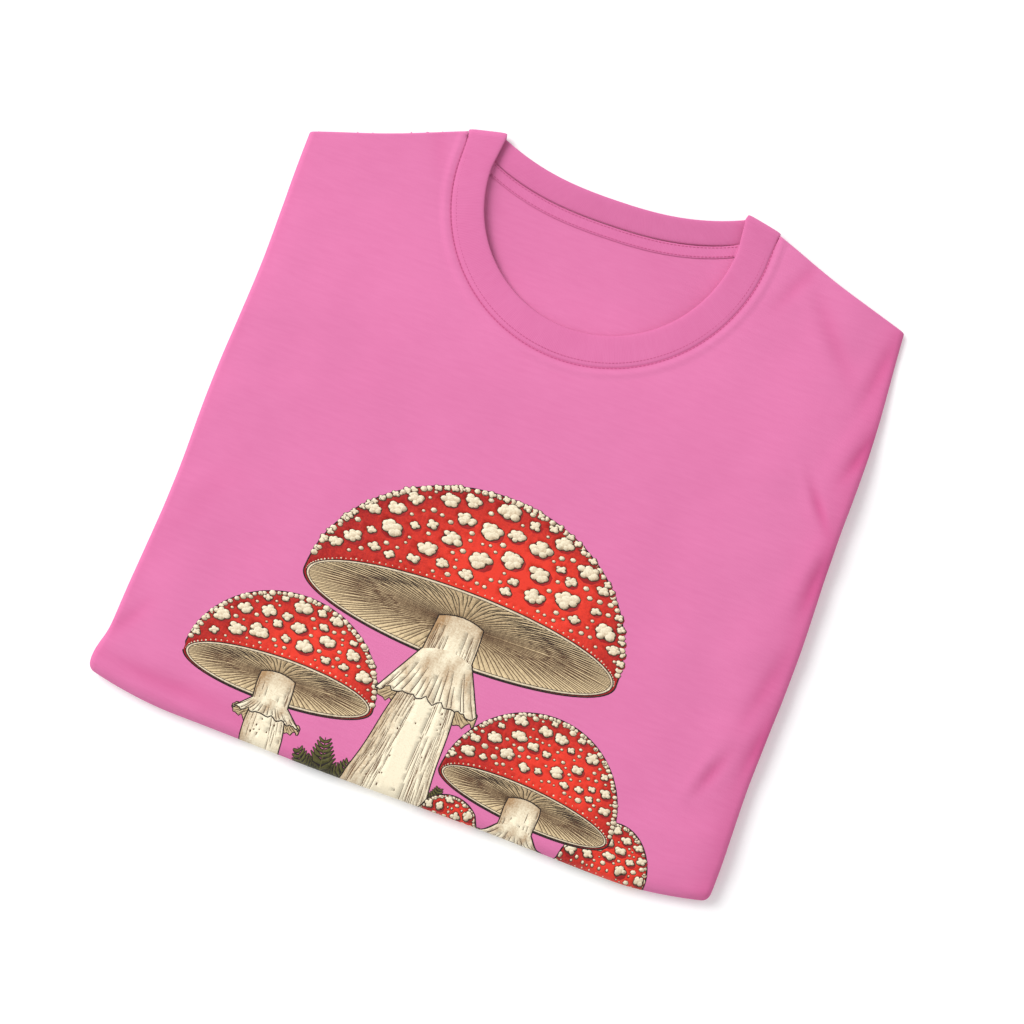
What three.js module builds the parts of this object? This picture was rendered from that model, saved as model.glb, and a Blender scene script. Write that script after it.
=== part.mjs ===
// A short-sleeved crew-neck T-shirt of light cotton jersey, folded flat for a shelf and lying face up.
// The sides and the sleeves are folded behind the back, then the lower part of the body is folded behind both.
//
// Millimetres. +Z is up, +Y runs from the bottom fold to the neck, and +X runs across the chest. The origin is
// under the middle of the folded shirt, on the surface that it lies on.
//
// Every cut piece is drawn in garment coordinates and then folded: u is the distance across the cloth from the
// centre line, v the distance up the cloth from the bottom fold, and level the height inside the folded stack.
import * as THREE from "three";

// ---- Driving dimensions -------------------------------------------------------------------------------------
const FOLDED_LENGTH = 457; // bottom fold to the neck points
const HALF_WIDTH_BOTTOM = 226; // centre line to a side fold, at the bottom fold
const HALF_WIDTH_SHOULDER = 217; // centre line to a side fold, at the shoulder
const BODY_HALF_WIDTH = 254; // half of the chest measured flat
const BODY_LENGTH = 737; // neck point to hem
const JERSEY = 0.7; // thickness of one ply of jersey
const STACK = 8; // height of the stack of plies that the side folds make
const STACK_GAP = 1; // half of the air between that stack and the flap under it
const PLY_AIR = 1.2; // air between the front and the back
const SHOULDER = { u: 224, v: 412 }; // where the shoulder meets the sleeve
const UNDERARM = { u: BODY_HALF_WIDTH, v: 196 };
// The front neck is a half circle. Its neck points are where the shoulders start.
const NECK = { centreV: 433, freeRadius: 89, seamRadius: 111, pointU: 113, pointV: 450 };
const BACK_NECK = { freeV: 438, seamV: 421, freeZ: 7.6, seamZ: 2.9 }; // at the centre of the back
const RIB_THICKNESS = 1.5;
const SLEEVE = { length: 208, cuff: 174, slope: 28 }; // slope in degrees below the shoulder point
const TAPE = { width: 9, thickness: 0.7 };
const THREAD = 0.5; // thickness of a sewing thread
const CLEARANCE = 0.35; // between pieces that touch in the real shirt

// ---- Values that follow from them ---------------------------------------------------------------------------
const FRONT_LEVEL = STACK - JERSEY / 2;
const BACK_LEVEL = FRONT_LEVEL - JERSEY - PLY_AIR;
const SIDE_FOLD_ARC = 2.7 * Math.PI; // cloth taken up by a side fold
const BOTTOM_FOLD_START = STACK + STACK_GAP;
const BOTTOM_FOLD_ARC = (STACK_GAP + STACK / 2) * Math.PI; // cloth taken up by the bottom fold
const BASE = STACK + 2 * STACK_GAP; // height of the upper stack over the surface
const HEM_V = FOLDED_LENGTH - BODY_LENGTH;
const HEM_STITCH_V = HEM_V + 20;
const FLAP_TUCK = 4; // how much narrower each side of the flap is than the cloth over it
const FLAP_END_V = 285; // where the flap under the shirt ends, so that the cloth above it sinks
const SUNK_V = 402; // from here up the shirt lies on the surface

const lerp = (a, b, t) => a + (b - a) * t;
const ease = (a, b, x) => {
  const t = THREE.MathUtils.clamp((x - a) / (b - a), 0, 1);
  return (1 - Math.cos(Math.PI * t)) / 2;
};

// ---- The folds ----------------------------------------------------------------------------------------------
// Where the arc of a side fold starts, at a height v.
function foldStart(v) {
  const half = lerp(HALF_WIDTH_BOTTOM, HALF_WIDTH_SHOULDER, THREE.MathUtils.clamp(v / SHOULDER.v, 0, 1));
  return half - STACK / 2 - FLAP_TUCK * ease(0, HEM_V, v);
}

// A point of the cloth once a side is folded behind: { x, z } for a point s past the start of the fold.
function sideFold(start, s, level) {
  const reach = level - STACK / 2;
  if (s <= 0) return { x: start + s, z: level };
  const turn = (Math.PI * s) / SIDE_FOLD_ARC;
  if (turn >= Math.PI) return { x: start - (s - SIDE_FOLD_ARC), z: STACK - level };
  return { x: start + reach * Math.sin(turn), z: STACK / 2 + reach * Math.cos(turn) };
}

// The same for the bottom fold. Past the end of the flap the shirt sinks to the surface. `dip` lowers a point of the
// upper stack and `lift` raises a point of the flap.
function place(x, v, z, dip = 0, lift = 0) {
  const down = BOTTOM_FOLD_START - v;
  if (down <= 0) {
    const sag = BASE * ease(FLAP_END_V, SUNK_V, v);
    return new THREE.Vector3(x, v - FOLDED_LENGTH / 2, BASE + z - sag - dip);
  }
  const turn = (Math.PI * down) / BOTTOM_FOLD_ARC;
  if (turn >= Math.PI) {
    const y = BOTTOM_FOLD_START + (down - BOTTOM_FOLD_ARC) - FOLDED_LENGTH / 2;
    return new THREE.Vector3(x, y, BASE - 2 * STACK_GAP - z + lift);
  }
  const radius = z + STACK_GAP;
  const y = BOTTOM_FOLD_START - radius * Math.sin(turn) - FOLDED_LENGTH / 2;
  return new THREE.Vector3(x, y, BASE - STACK_GAP + radius * Math.cos(turn));
}

// How far the back drops towards the surface inside the neck. It drops between two distances from the centre line
// and between two heights.
const NECK_DIP = { depth: 4.2, outerU: 112, innerU: 70, startV: 340, endV: 376 };
function neckDip(u, v) {
  const across = ease(NECK_DIP.outerU, NECK_DIP.innerU, Math.abs(u));
  return NECK_DIP.depth * across * ease(NECK_DIP.startV, NECK_DIP.endV, v);
}

// How far the front's hem lifts off the surface, which leaves room for its stitching.
const HEM_LIFT = { height: 0.9, startV: HEM_V + 32, endV: HEM_V + 22 };
const hemLift = (v) => HEM_LIFT.height * ease(HEM_LIFT.startV, HEM_LIFT.endV, v);

// A point of a body panel: u across the cloth, v up the cloth.
function panelPoint(u, v, level, options = {}) {
  const start = foldStart(v);
  const folded = sideFold(start, Math.abs(u) - start, level);
  const dip = options.dips ? neckDip(u, v) : 0;
  const lift = options.lifts ? hemLift(v) : 0;
  return place(Math.sign(u) * folded.x, v, folded.z, dip, lift);
}

// ---- Outlines in garment coordinates ------------------------------------------------------------------------
const BACK_NECK_BEND = 2.5; // a higher bend keeps the back neck level for longer before it rises
const ARMHOLE_BEND = 2.2; // a higher bend keeps the armhole steep for longer before it curves out

// The front neck's edge runs round the rib in chords, and stays clear of it.
const NECK_STEP = Math.PI / 12;
const PANEL_NECK_RADIUS = (NECK.seamRadius + CLEARANCE) / Math.cos(NECK_STEP / 2);
const frontSeamV = (u) => NECK.centreV - Math.sqrt(Math.max(0, PANEL_NECK_RADIUS ** 2 - u * u));

function backSeamV(u) {
  const across = Math.min(1, Math.abs(u) / NECK.pointU);
  return lerp(BACK_NECK.seamV, NECK.pointV, across ** BACK_NECK_BEND);
}

function shoulderV(u) {
  const across = (Math.abs(u) - NECK.pointU) / (SHOULDER.u - NECK.pointU);
  return lerp(NECK.pointV, SHOULDER.v, across);
}

// The outer edge of a body panel: the side seam, and above the underarm the armhole.
function panelEdge(v) {
  const t = THREE.MathUtils.clamp((v - UNDERARM.v) / (SHOULDER.v - UNDERARM.v), 0, 1);
  return lerp(SHOULDER.u, UNDERARM.u, (1 - t) ** ARMHOLE_BEND);
}

// ---- Solids -------------------------------------------------------------------------------------------------
// A closed geometry from a list of points and quads, turned so that its faces point out.
function closedGeometry(points, quads) {
  const index = quads.flatMap(([a, b, c, d]) => [a, b, c, a, c, d]);
  const volume = () => {
    let sum = 0;
    for (let i = 0; i < index.length; i += 3) {
      const [a, b, c] = [0, 1, 2].map((k) => points[index[i + k]]);
      sum += a.dot(b.clone().cross(c));
    }
    return sum;
  };
  if (volume() < 0) {
    for (let i = 0; i < index.length; i += 3) [index[i + 1], index[i + 2]] = [index[i + 2], index[i + 1]];
  }
  return new THREE.BufferGeometry().setFromPoints(points).setIndex(index);
}

// A sheet with two faces and a rim. point(column, row, side) gives each corner, with side -1 below and +1 above.
function sheet(columns, rows, point) {
  const points = [];
  for (const side of [-1, 1]) {
    for (let i = 0; i <= columns; i++) for (let j = 0; j <= rows; j++) points.push(point(i, j, side));
  }
  const layer = (columns + 1) * (rows + 1);
  const at = (i, j, upper) => (upper ? layer : 0) + i * (rows + 1) + j;
  const quads = [];
  for (let i = 0; i < columns; i++) {
    for (let j = 0; j < rows; j++) {
      quads.push([at(i, j, 1), at(i + 1, j, 1), at(i + 1, j + 1, 1), at(i, j + 1, 1)]);
      quads.push([at(i, j, 0), at(i, j + 1, 0), at(i + 1, j + 1, 0), at(i + 1, j, 0)]);
    }
    quads.push([at(i, 0, 0), at(i + 1, 0, 0), at(i + 1, 0, 1), at(i, 0, 1)]);
    quads.push([at(i, rows, 1), at(i + 1, rows, 1), at(i + 1, rows, 0), at(i, rows, 0)]);
  }
  for (let j = 0; j < rows; j++) {
    quads.push([at(0, j, 1), at(0, j + 1, 1), at(0, j + 1, 0), at(0, j, 0)]);
    quads.push([at(columns, j, 0), at(columns, j + 1, 0), at(columns, j + 1, 1), at(columns, j, 1)]);
  }
  return closedGeometry(points, quads);
}

// A closed ring whose sections each have four corners.
function ring(sections) {
  const count = sections.length;
  const quads = [];
  for (let i = 0; i < count; i++) {
    for (let k = 0; k < 4; k++) {
      const [a, b] = [i * 4, ((i + 1) % count) * 4];
      quads.push([a + k, b + k, b + ((k + 1) % 4), a + ((k + 1) % 4)]);
    }
  }
  return closedGeometry(sections.flat(), quads);
}

// A square thread through a list of points, capped at both ends. `guide` is a direction that it never runs along.
function thread(path, guide = new THREE.Vector3(0, 0, 1)) {
  const half = THREAD / 2;
  const points = [];
  path.forEach((p, i) => {
    const along = path[Math.min(i + 1, path.length - 1)].clone().sub(path[Math.max(i - 1, 0)]).normalize();
    const side = along.clone().cross(guide).normalize().multiplyScalar(half);
    const up = side.clone().cross(along).normalize().multiplyScalar(half);
    for (const [a, b] of [[-1, -1], [1, -1], [1, 1], [-1, 1]]) {
      points.push(p.clone().addScaledVector(side, a).addScaledVector(up, b));
    }
  });
  const last = (path.length - 1) * 4;
  const quads = [[0, 1, 2, 3], [last + 3, last + 2, last + 1, last]];
  for (let i = 0; i < last; i += 4) {
    for (let k = 0; k < 4; k++) quads.push([i + k, i + 4 + k, i + 4 + ((k + 1) % 4), i + ((k + 1) % 4)]);
  }
  return closedGeometry(points, quads);
}

// ---- Materials ----------------------------------------------------------------------------------------------
const jersey = new THREE.MeshStandardMaterial({ color: 0xe884b3, roughness: 0.9, metalness: 0 });
const rib = new THREE.MeshStandardMaterial({ color: 0xe680b0, roughness: 0.92, metalness: 0 });
const tape = new THREE.MeshStandardMaterial({ color: 0xe37cac, roughness: 0.9, metalness: 0 });
const sewing = new THREE.MeshStandardMaterial({ color: 0xdf73a6, roughness: 0.7, metalness: 0 });
const ink = new THREE.MeshStandardMaterial({ color: 0xcf3a2e, roughness: 0.6, metalness: 0 });

const shirt = new THREE.Group();
function add(name, geometry, material) {
  const mesh = new THREE.Mesh(geometry, material);
  mesh.name = name;
  shirt.add(mesh);
}

// ---- The two body panels ------------------------------------------------------------------------------------
// Columns run up the cloth. Near the neck they are spaced round its half circle, and past the start of the side
// fold they follow the fold and then the edge of the panel.
const NECK_COLUMNS = [0, 1, 2, 3, 4, 5, 6].map((k) => PANEL_NECK_RADIUS * Math.sin(k * NECK_STEP));
const FLAT_COLUMNS = [114.5, 146, 180];
const FOLD_STEPS = 4; // round a side fold
const FOLD_ROWS = 6; // round the bottom fold
const BODY_FRACTIONS = [0, 0.14, 0.28, 0.42, 0.56, 0.7, 0.85, 1]; // rows from the end of the flap to the top edge
const HALF_COLUMNS = [
  ...NECK_COLUMNS.map((u) => () => u),
  ...FLAT_COLUMNS.map((u) => () => u),
  ...Array.from({ length: FOLD_STEPS + 1 }, (_, k) => (v) => foldStart(v) + (SIDE_FOLD_ARC * k) / FOLD_STEPS),
  (v) => panelEdge(v),
];
const COLUMNS = [
  ...HALF_COLUMNS.slice(1).reverse().map((column) => (v) => -column(v)),
  ...HALF_COLUMNS,
];
const MID_FLAP_V = -130;
const MID_BODY_V = 70;
const LOWER_ROWS = [
  HEM_V,
  HEM_LIFT.endV,
  HEM_LIFT.startV,
  MID_FLAP_V,
  ...[6, 5, 4, 3, 2, 1, 0].map((k) => BOTTOM_FOLD_START - (BOTTOM_FOLD_ARC * k) / FOLD_ROWS),
  MID_BODY_V,
  UNDERARM.v,
];

function panel(level, neckV, options) {
  const rows = LOWER_ROWS.length - 1 + BODY_FRACTIONS.length;
  return sheet(COLUMNS.length - 1, rows, (i, j, side) => {
    const column = COLUMNS[i];
    const topU = Math.abs(column(SHOULDER.v));
    const top = topU < NECK.pointU ? neckV(topU) : shoulderV(topU);
    const share = BODY_FRACTIONS[j - LOWER_ROWS.length];
    const v = j < LOWER_ROWS.length ? LOWER_ROWS[j] : lerp(FLAP_END_V, top - CLEARANCE, share);
    return panelPoint(column(v), v, level + (side * JERSEY) / 2, options);
  });
}
add("front_panel", panel(FRONT_LEVEL, frontSeamV, { lifts: true }), jersey);
add("back_panel", panel(BACK_LEVEL, backSeamV, { dips: true }), jersey);

// ---- The sleeves --------------------------------------------------------------------------------------------
// Each is one piece, folded along its upper edge into two plies that lie under the back.
const SLEEVE_PLIES = { lower: 1.55, upper: 2.95 };
const SLEEVE_GAP = 1.6; // between a sleeve and the edge of the armhole
const FOLD_INSET = 16; // how far inside the shoulder point the side fold leaves the sleeve and the shoulder seam
const SLEEVE_COLUMNS = [0, 0.25, 0.5, 0.75, 0.9, 1]; // from the armhole to the cuff
const CUFF_STITCH_COLUMN = 4;
const SLEEVE_ROWS = 7; // across each ply
const SLEEVE_FOLD_ROWS = 3;

const SLEEVE_TOP = { x: SHOULDER.u - FOLD_INSET, v: SHOULDER.v - 5 }; // where its fold meets the armhole
const SLEEVE_FOOT_V = UNDERARM.v + 2; // where its seam meets the armhole
const SLEEVE_SLOPE = THREE.MathUtils.degToRad(SLEEVE.slope);

// A point of the sleeve seen from above, along from the armhole (0) to the cuff (1) and across from the fold (0) to
// the seam (1).
function sleevePlan(along, across) {
  const v = lerp(SLEEVE_TOP.v, SLEEVE_FOOT_V, across);
  const start = foldStart(v);
  const armhole = { x: 2 * start + SIDE_FOLD_ARC - panelEdge(v) - SLEEVE_GAP, v };
  const reach = SLEEVE.length;
  const width = across * SLEEVE.cuff;
  const cuff = {
    x: SLEEVE_TOP.x - reach * Math.cos(SLEEVE_SLOPE) + width * Math.sin(SLEEVE_SLOPE),
    v: SLEEVE_TOP.v - reach * Math.sin(SLEEVE_SLOPE) - width * Math.cos(SLEEVE_SLOPE),
  };
  return { x: lerp(armhole.x, cuff.x, along), v: lerp(armhole.v, cuff.v, along) };
}

// Row j of a sleeve goes up one ply, round its fold and down the other. `offset` is measured outwards from the middle
// of a ply.
function sleevePoint(hand, along, j, offset) {
  const middle = (SLEEVE_PLIES.lower + SLEEVE_PLIES.upper) / 2;
  const radius = (SLEEVE_PLIES.upper - SLEEVE_PLIES.lower) / 2;
  const turnRow = j - SLEEVE_ROWS;
  if (turnRow <= 0) {
    const plan = sleevePlan(along, 1 - j / SLEEVE_ROWS);
    return place(hand * plan.x, plan.v, SLEEVE_PLIES.lower - offset);
  }
  if (turnRow >= SLEEVE_FOLD_ROWS) {
    const plan = sleevePlan(along, (turnRow - SLEEVE_FOLD_ROWS) / SLEEVE_ROWS);
    return place(hand * plan.x, plan.v, SLEEVE_PLIES.upper + offset);
  }
  const plan = sleevePlan(along, 0);
  const turn = (Math.PI * turnRow) / SLEEVE_FOLD_ROWS;
  const reach = radius + offset;
  return place(hand * plan.x, plan.v + reach * Math.sin(turn), middle - reach * Math.cos(turn));
}

const SLEEVE_PATH = 2 * SLEEVE_ROWS + SLEEVE_FOLD_ROWS;
for (const [side, hand] of [["left", 1], ["right", -1]]) {
  const solid = sheet(SLEEVE_COLUMNS.length - 1, SLEEVE_PATH, (i, j, face) =>
    sleevePoint(hand, SLEEVE_COLUMNS[i], j, (face * JERSEY) / 2),
  );
  add(`${side}_sleeve`, solid, jersey);
  const cuff = SLEEVE_COLUMNS[CUFF_STITCH_COLUMN];
  const away = (JERSEY + THREAD) / 2 + CLEARANCE;
  const path = Array.from({ length: SLEEVE_PATH + 1 }, (_, j) => sleevePoint(hand, cuff, j, away));
  const alongSleeve = new THREE.Vector3(hand * Math.cos(SLEEVE_SLOPE), Math.sin(SLEEVE_SLOPE), 0);
  add(`${side}_sleeve_hem_thread`, thread(path, alongSleeve), sewing);
}

// ---- The collar ---------------------------------------------------------------------------------------------
// A closed band of rib, flattened: its front lies on top, it folds over at each neck point, and its back lies below.
const RIB_LEVEL = STACK - RIB_THICKNESS / 2;
const NECK_POINT = {
  free: { x: NECK.freeRadius - 1, v: FOLDED_LENGTH - 3 },
  seam: { x: NECK.pointU - 1, v: NECK.pointV - 1 },
};

const FREE_EDGE_RISE = { plan: 3, height: 4 }; // how sharply the back's free edge comes up to the neck points

// A four-cornered section from the free edge to the seam edge, with `up` the direction across the band's thickness.
function ribSection(free, seam, up) {
  const half = up.clone().multiplyScalar(RIB_THICKNESS / 2);
  return [free.clone().sub(half), seam.clone().sub(half), seam.clone().add(half), free.clone().add(half)];
}

function collarSections() {
  const up = new THREE.Vector3(0, 0, 1);
  const sections = [];
  // The front, from the wearer's left neck point round to the right one.
  const FRONT_STEPS = 24;
  for (let i = 0; i <= FRONT_STEPS; i++) {
    const angle = (Math.PI * i) / FRONT_STEPS;
    const [c, s] = [Math.cos(angle), Math.sin(angle)];
    const at = (radius) => place(radius * c, NECK.centreV - radius * s, RIB_LEVEL);
    sections.push(ribSection(at(NECK.freeRadius), at(NECK.seamRadius), up));
  }
  sections.push(...neckPointFold(-1));
  // The back, from right to left, where the free edge stands up and the outside faces down.
  const BACK_STEPS = 14;
  for (let i = 1; i < BACK_STEPS; i++) {
    const t = (2 * i) / BACK_STEPS - 1;
    const across = Math.abs(t);
    const free = new THREE.Vector3(
      NECK_POINT.free.x * t,
      lerp(BACK_NECK.freeV, NECK_POINT.free.v, across ** FREE_EDGE_RISE.plan) - FOLDED_LENGTH / 2,
      lerp(BACK_NECK.freeZ, BACK_NECK.seamZ, across ** FREE_EDGE_RISE.height),
    );
    const seam = new THREE.Vector3(
      NECK_POINT.seam.x * t,
      lerp(BACK_NECK.seamV, NECK_POINT.seam.v, across ** BACK_NECK_BEND) + CLEARANCE - FOLDED_LENGTH / 2,
      BACK_NECK.seamZ,
    );
    const slope = free.clone().sub(seam).normalize();
    sections.push(ribSection(free, seam, slope.clone().multiplyScalar(slope.z).sub(up).normalize()));
  }
  sections.push(...neckPointFold(1).reverse());
  return sections;
}

// The sections that take the band over a neck point, from the front (top) to the back (bottom).
function neckPointFold(hand) {
  const free = new THREE.Vector3(hand * NECK_POINT.free.x, NECK_POINT.free.v - FOLDED_LENGTH / 2, 0);
  const seam = new THREE.Vector3(hand * NECK_POINT.seam.x, NECK_POINT.seam.v - FOLDED_LENGTH / 2, 0);
  const line = seam.clone().sub(free).normalize();
  const outwards = new THREE.Vector3(-line.y, line.x, 0).multiplyScalar(hand);
  const radius = (RIB_LEVEL - BACK_NECK.seamZ) / 2;
  const centreZ = (RIB_LEVEL + BACK_NECK.seamZ) / 2;
  const STEPS = 4;
  return Array.from({ length: STEPS + 1 }, (_, k) => {
    const turn = (Math.PI * k) / STEPS;
    const up = new THREE.Vector3(0, 0, Math.cos(turn)).addScaledVector(outwards, Math.sin(turn));
    const centre = outwards.clone().multiplyScalar(radius * Math.sin(turn));
    centre.z = centreZ + radius * Math.cos(turn);
    return ribSection(free.clone().add(centre), seam.clone().add(centre), up);
  });
}
add("collar_rib", ring(collarSections()), rib);

// ---- The neck tape ------------------------------------------------------------------------------------------
// A strip of jersey over the back neck seam, on the inside of the back.
const TAPE_STEPS = 16;
const TAPE_HALF = 84;
function tapePoint(t, drop, offset) {
  const u = TAPE_HALF * t;
  const v = backSeamV(u) - CLEARANCE * 3 - drop;
  const surface = panelPoint(u, v, BACK_LEVEL + JERSEY / 2, { dips: true });
  surface.z += offset;
  return surface;
}
const tapeBand = sheet(TAPE_STEPS, 1, (i, j, side) => {
  const middle = CLEARANCE + TAPE.thickness / 2;
  return tapePoint((2 * i) / TAPE_STEPS - 1, j * TAPE.width, middle + (side * TAPE.thickness) / 2);
});
add("neck_tape", tapeBand, tape);

// ---- The print ----------------------------------------------------------------------------------------------
// A film of ink on the front. It lies under the outline of the printed toadstool caps and runs into the bottom fold.
const CAPS = [
  { u: -2, v: 120, halfWidth: 119, height: 101 },
  { u: -102, v: 44, halfWidth: 69, height: 65 },
  { u: 85, v: 32, halfWidth: 63, height: 57 },
  { u: 150, v: 0, halfWidth: 34, height: 37 },
];
const PRINT = { left: -168, right: 180, shortest: 24, film: 0.3, columns: 24, rows: 5 };

// The top of the printed area, at a distance u from the centre line.
function printTop(u) {
  const capsHere = CAPS.filter((cap) => Math.abs(u - cap.u) < cap.halfWidth);
  const tops = capsHere.map((cap) => cap.v + cap.height * Math.sqrt(1 - ((u - cap.u) / cap.halfWidth) ** 2));
  return Math.max(PRINT.shortest, ...tops);
}
const inkFilm = sheet(PRINT.columns, PRINT.rows, (i, j, side) => {
  const u = lerp(PRINT.left, PRINT.right, i / PRINT.columns);
  const inFold = BOTTOM_FOLD_START - BOTTOM_FOLD_ARC / FOLD_ROWS;
  const v = j === 0 ? inFold : lerp(BOTTOM_FOLD_START, printTop(u), (j - 1) / (PRINT.rows - 1));
  return panelPoint(u, v, STACK + CLEARANCE + ((1 + side) * PRINT.film) / 2);
});
add("front_print", inkFilm, ink);

// ---- Sewing threads -----------------------------------------------------------------------------------------
const range = (count) => Array.from({ length: count + 1 }, (_, i) => i / count);
const onTop = (JERSEY + THREAD) / 2 + CLEARANCE;

// Two rows along the front neck seam, one on the rib and one on the body.
function neckRow(radius, gap) {
  return range(28).map((t) => {
    const [c, s] = [Math.cos(Math.PI * t), Math.sin(Math.PI * t)];
    return place(radius * c, NECK.centreV - radius * s, STACK + THREAD / 2 + gap);
  });
}
const RIB_STITCH_INSET = 3.5; // from the neck seam
const BODY_STITCH_INSET = 3.8;
add("collar_thread_on_rib", thread(neckRow(NECK.seamRadius - RIB_STITCH_INSET, CLEARANCE)), sewing);
add("collar_thread_on_body", thread(neckRow(NECK.seamRadius + BODY_STITCH_INSET, 2 * CLEARANCE)), sewing);

// Two rows along the neck tape.
const TAPE_MARGIN = 1.5; // from the stitches to the edge of the tape
const TAPE_SHARE = 0.97; // of the tape's length that is stitched
[["upper", TAPE_MARGIN], ["lower", TAPE.width - TAPE_MARGIN]].forEach(([name, drop]) => {
  const height = 2 * CLEARANCE + TAPE.thickness + THREAD / 2;
  const path = range(TAPE_STEPS).map((t) => tapePoint((2 * t - 1) * TAPE_SHARE, drop, height));
  add(`neck_tape_${name}_thread`, thread(path), sewing);
});

// The seams that join the front to the back and the body to the sleeves run between their plies.
const SEAM_LEVEL = (FRONT_LEVEL + BACK_LEVEL) / 2;
const SEAM_MARGIN = 2; // from a seam to the edge of the cloth
const SHOULDER_SEAM_START = NECK.pointU + 3;
const ARMHOLE_SEAM = { startV: UNDERARM.v + 4, endV: SHOULDER.v - 50 };
const SIDE_SEAM_ROWS = [
  UNDERARM.v - 4,
  MID_BODY_V,
  ...range(5).map((t) => BOTTOM_FOLD_START - BOTTOM_FOLD_ARC * t),
  MID_FLAP_V,
  HEM_V + 30,
];
for (const [side, hand] of [["left", 1], ["right", -1]]) {
  const shoulder = range(6).map((t) => {
    const u = lerp(SHOULDER_SEAM_START, SHOULDER.u - FOLD_INSET, t);
    return panelPoint(hand * u, shoulderV(u) - SEAM_MARGIN, SEAM_LEVEL);
  });
  add(`${side}_shoulder_thread`, thread(shoulder), sewing);

  const armhole = range(14).map((t) => {
    const v = lerp(ARMHOLE_SEAM.startV, ARMHOLE_SEAM.endV, t);
    return panelPoint(hand * (panelEdge(v) - SEAM_MARGIN), v, SEAM_LEVEL);
  });
  add(`${side}_armhole_thread`, thread(armhole), sewing);

  const sideSeam = SIDE_SEAM_ROWS.map((v) => panelPoint(hand * (UNDERARM.u - SEAM_MARGIN), v, SEAM_LEVEL));
  add(`${side}_side_thread`, thread(sideSeam, new THREE.Vector3(1, 0, 0)), sewing);
}

// The hem's stitching, on the outside of the front and of the back.
const HEM_STITCH_EDGE = UNDERARM.u - 8;
const HEM_STITCH_FLAT = 180; // half of the stretch between the side folds that runs straight
const flatPart = foldStart(HEM_STITCH_V);
const hemStops = [
  ...range(FOLD_STEPS).map((t) => flatPart + SIDE_FOLD_ARC * (1 - t)),
  ...range(4).map((t) => lerp(HEM_STITCH_FLAT, -HEM_STITCH_FLAT, t)),
  ...range(FOLD_STEPS).map((t) => -flatPart - SIDE_FOLD_ARC * t),
];
const hemColumns = [HEM_STITCH_EDGE, ...hemStops, -HEM_STITCH_EDGE];
const alongCloth = new THREE.Vector3(0, 1, 0);
const frontHem = hemColumns.map((u) => panelPoint(u, HEM_STITCH_V, FRONT_LEVEL + onTop, { lifts: true }));
add("front_hem_thread", thread(frontHem, alongCloth), sewing);
const backHem = hemColumns.map((u) => panelPoint(u, HEM_STITCH_V, BACK_LEVEL - onTop));
add("back_hem_thread", thread(backHem, alongCloth), sewing);

export default shirt;
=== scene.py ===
"""A crew-neck T-shirt of pink cotton jersey, folded flat for a shelf, with toadstools printed on its front.

The cloth is cut flat and then folded. In garment coordinates u is the distance across the cloth from its
centre line, v the distance up the cloth from the bottom fold, and level the height inside the stack that the
folded sides make, all in millimetres. surface() folds those coordinates into the frame, in metres.
"""
import math
import random

import bpy
import numpy as np
from mathutils.geometry import delaunay_2d_cdt
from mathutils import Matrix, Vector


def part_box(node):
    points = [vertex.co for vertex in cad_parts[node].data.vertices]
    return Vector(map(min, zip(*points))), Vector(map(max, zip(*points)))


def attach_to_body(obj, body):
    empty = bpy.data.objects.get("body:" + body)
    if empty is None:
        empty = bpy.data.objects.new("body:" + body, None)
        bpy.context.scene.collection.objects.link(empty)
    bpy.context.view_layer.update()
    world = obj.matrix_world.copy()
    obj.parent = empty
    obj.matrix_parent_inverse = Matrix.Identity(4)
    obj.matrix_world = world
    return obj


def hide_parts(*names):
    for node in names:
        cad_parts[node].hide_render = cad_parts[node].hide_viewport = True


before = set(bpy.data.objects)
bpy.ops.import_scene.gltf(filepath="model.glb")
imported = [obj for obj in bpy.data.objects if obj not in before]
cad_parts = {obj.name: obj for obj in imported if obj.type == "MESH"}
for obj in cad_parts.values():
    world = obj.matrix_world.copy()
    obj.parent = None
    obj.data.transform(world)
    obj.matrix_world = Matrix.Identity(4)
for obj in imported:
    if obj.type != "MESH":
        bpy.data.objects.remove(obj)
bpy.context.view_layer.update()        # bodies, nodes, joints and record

MM = 0.001

# ---- Sizes -----------------------------------------------------------------------------------------------
front_low, front_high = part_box("front_panel")
FOLDED_LENGTH = -2 * front_low.y / MM
HALF_WIDTH = front_high.x / MM  # at the bottom fold
HALF_WIDTH_SHOULDER = 217
STACK_GAP = 1.0  # half of the air between the stack and the flap under it
STACK = front_high.z / MM / 2 - STACK_GAP  # height of the plies that the side folds stack up
BASE = STACK + 2 * STACK_GAP
JERSEY = 0.7  # thickness of one ply
PLY_AIR = 1.2
INK = 0.08  # height of the print above the cloth
FRONT_LEVEL = STACK - INK - JERSEY / 2
BACK_LEVEL = FRONT_LEVEL - JERSEY - PLY_AIR
SEAM_LEVEL = (FRONT_LEVEL + BACK_LEVEL) / 2
SIDE_ARC = 2.7 * math.pi
FOLD_START = STACK + STACK_GAP
BOTTOM_ARC = (STACK_GAP + STACK / 2) * math.pi
CHEST_HALF = 254
BODY_LENGTH = 737
HEM_V = FOLDED_LENGTH - BODY_LENGTH
HEM_DEPTH = 22
HEM_STEP = 0.35  # how much the turned-up hem stands out from one ply
HEM_LIFT = 0.9
FLAP_TAPER = 8  # each side of the flap is narrower at its hem
FLAP_END_V = 285
SUNK_V = 402
SHOULDER_U, SHOULDER_V = 224, 412
UNDERARM_V = 196
ARMHOLE_CURVE = 2.2
NECK_V = 433  # centre of the half circle of the front neck
NECK_FREE_FROM_V = 200  # the neck doesn't shape the cloth below this
NECK_DIP = 4.2
FREE_RADIUS = 89
SEAM_RADIUS = 111
NECK_POINT_U, NECK_POINT_V = 113, 450
BACK_SEAM_V, BACK_FREE_V = 421, 438
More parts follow.
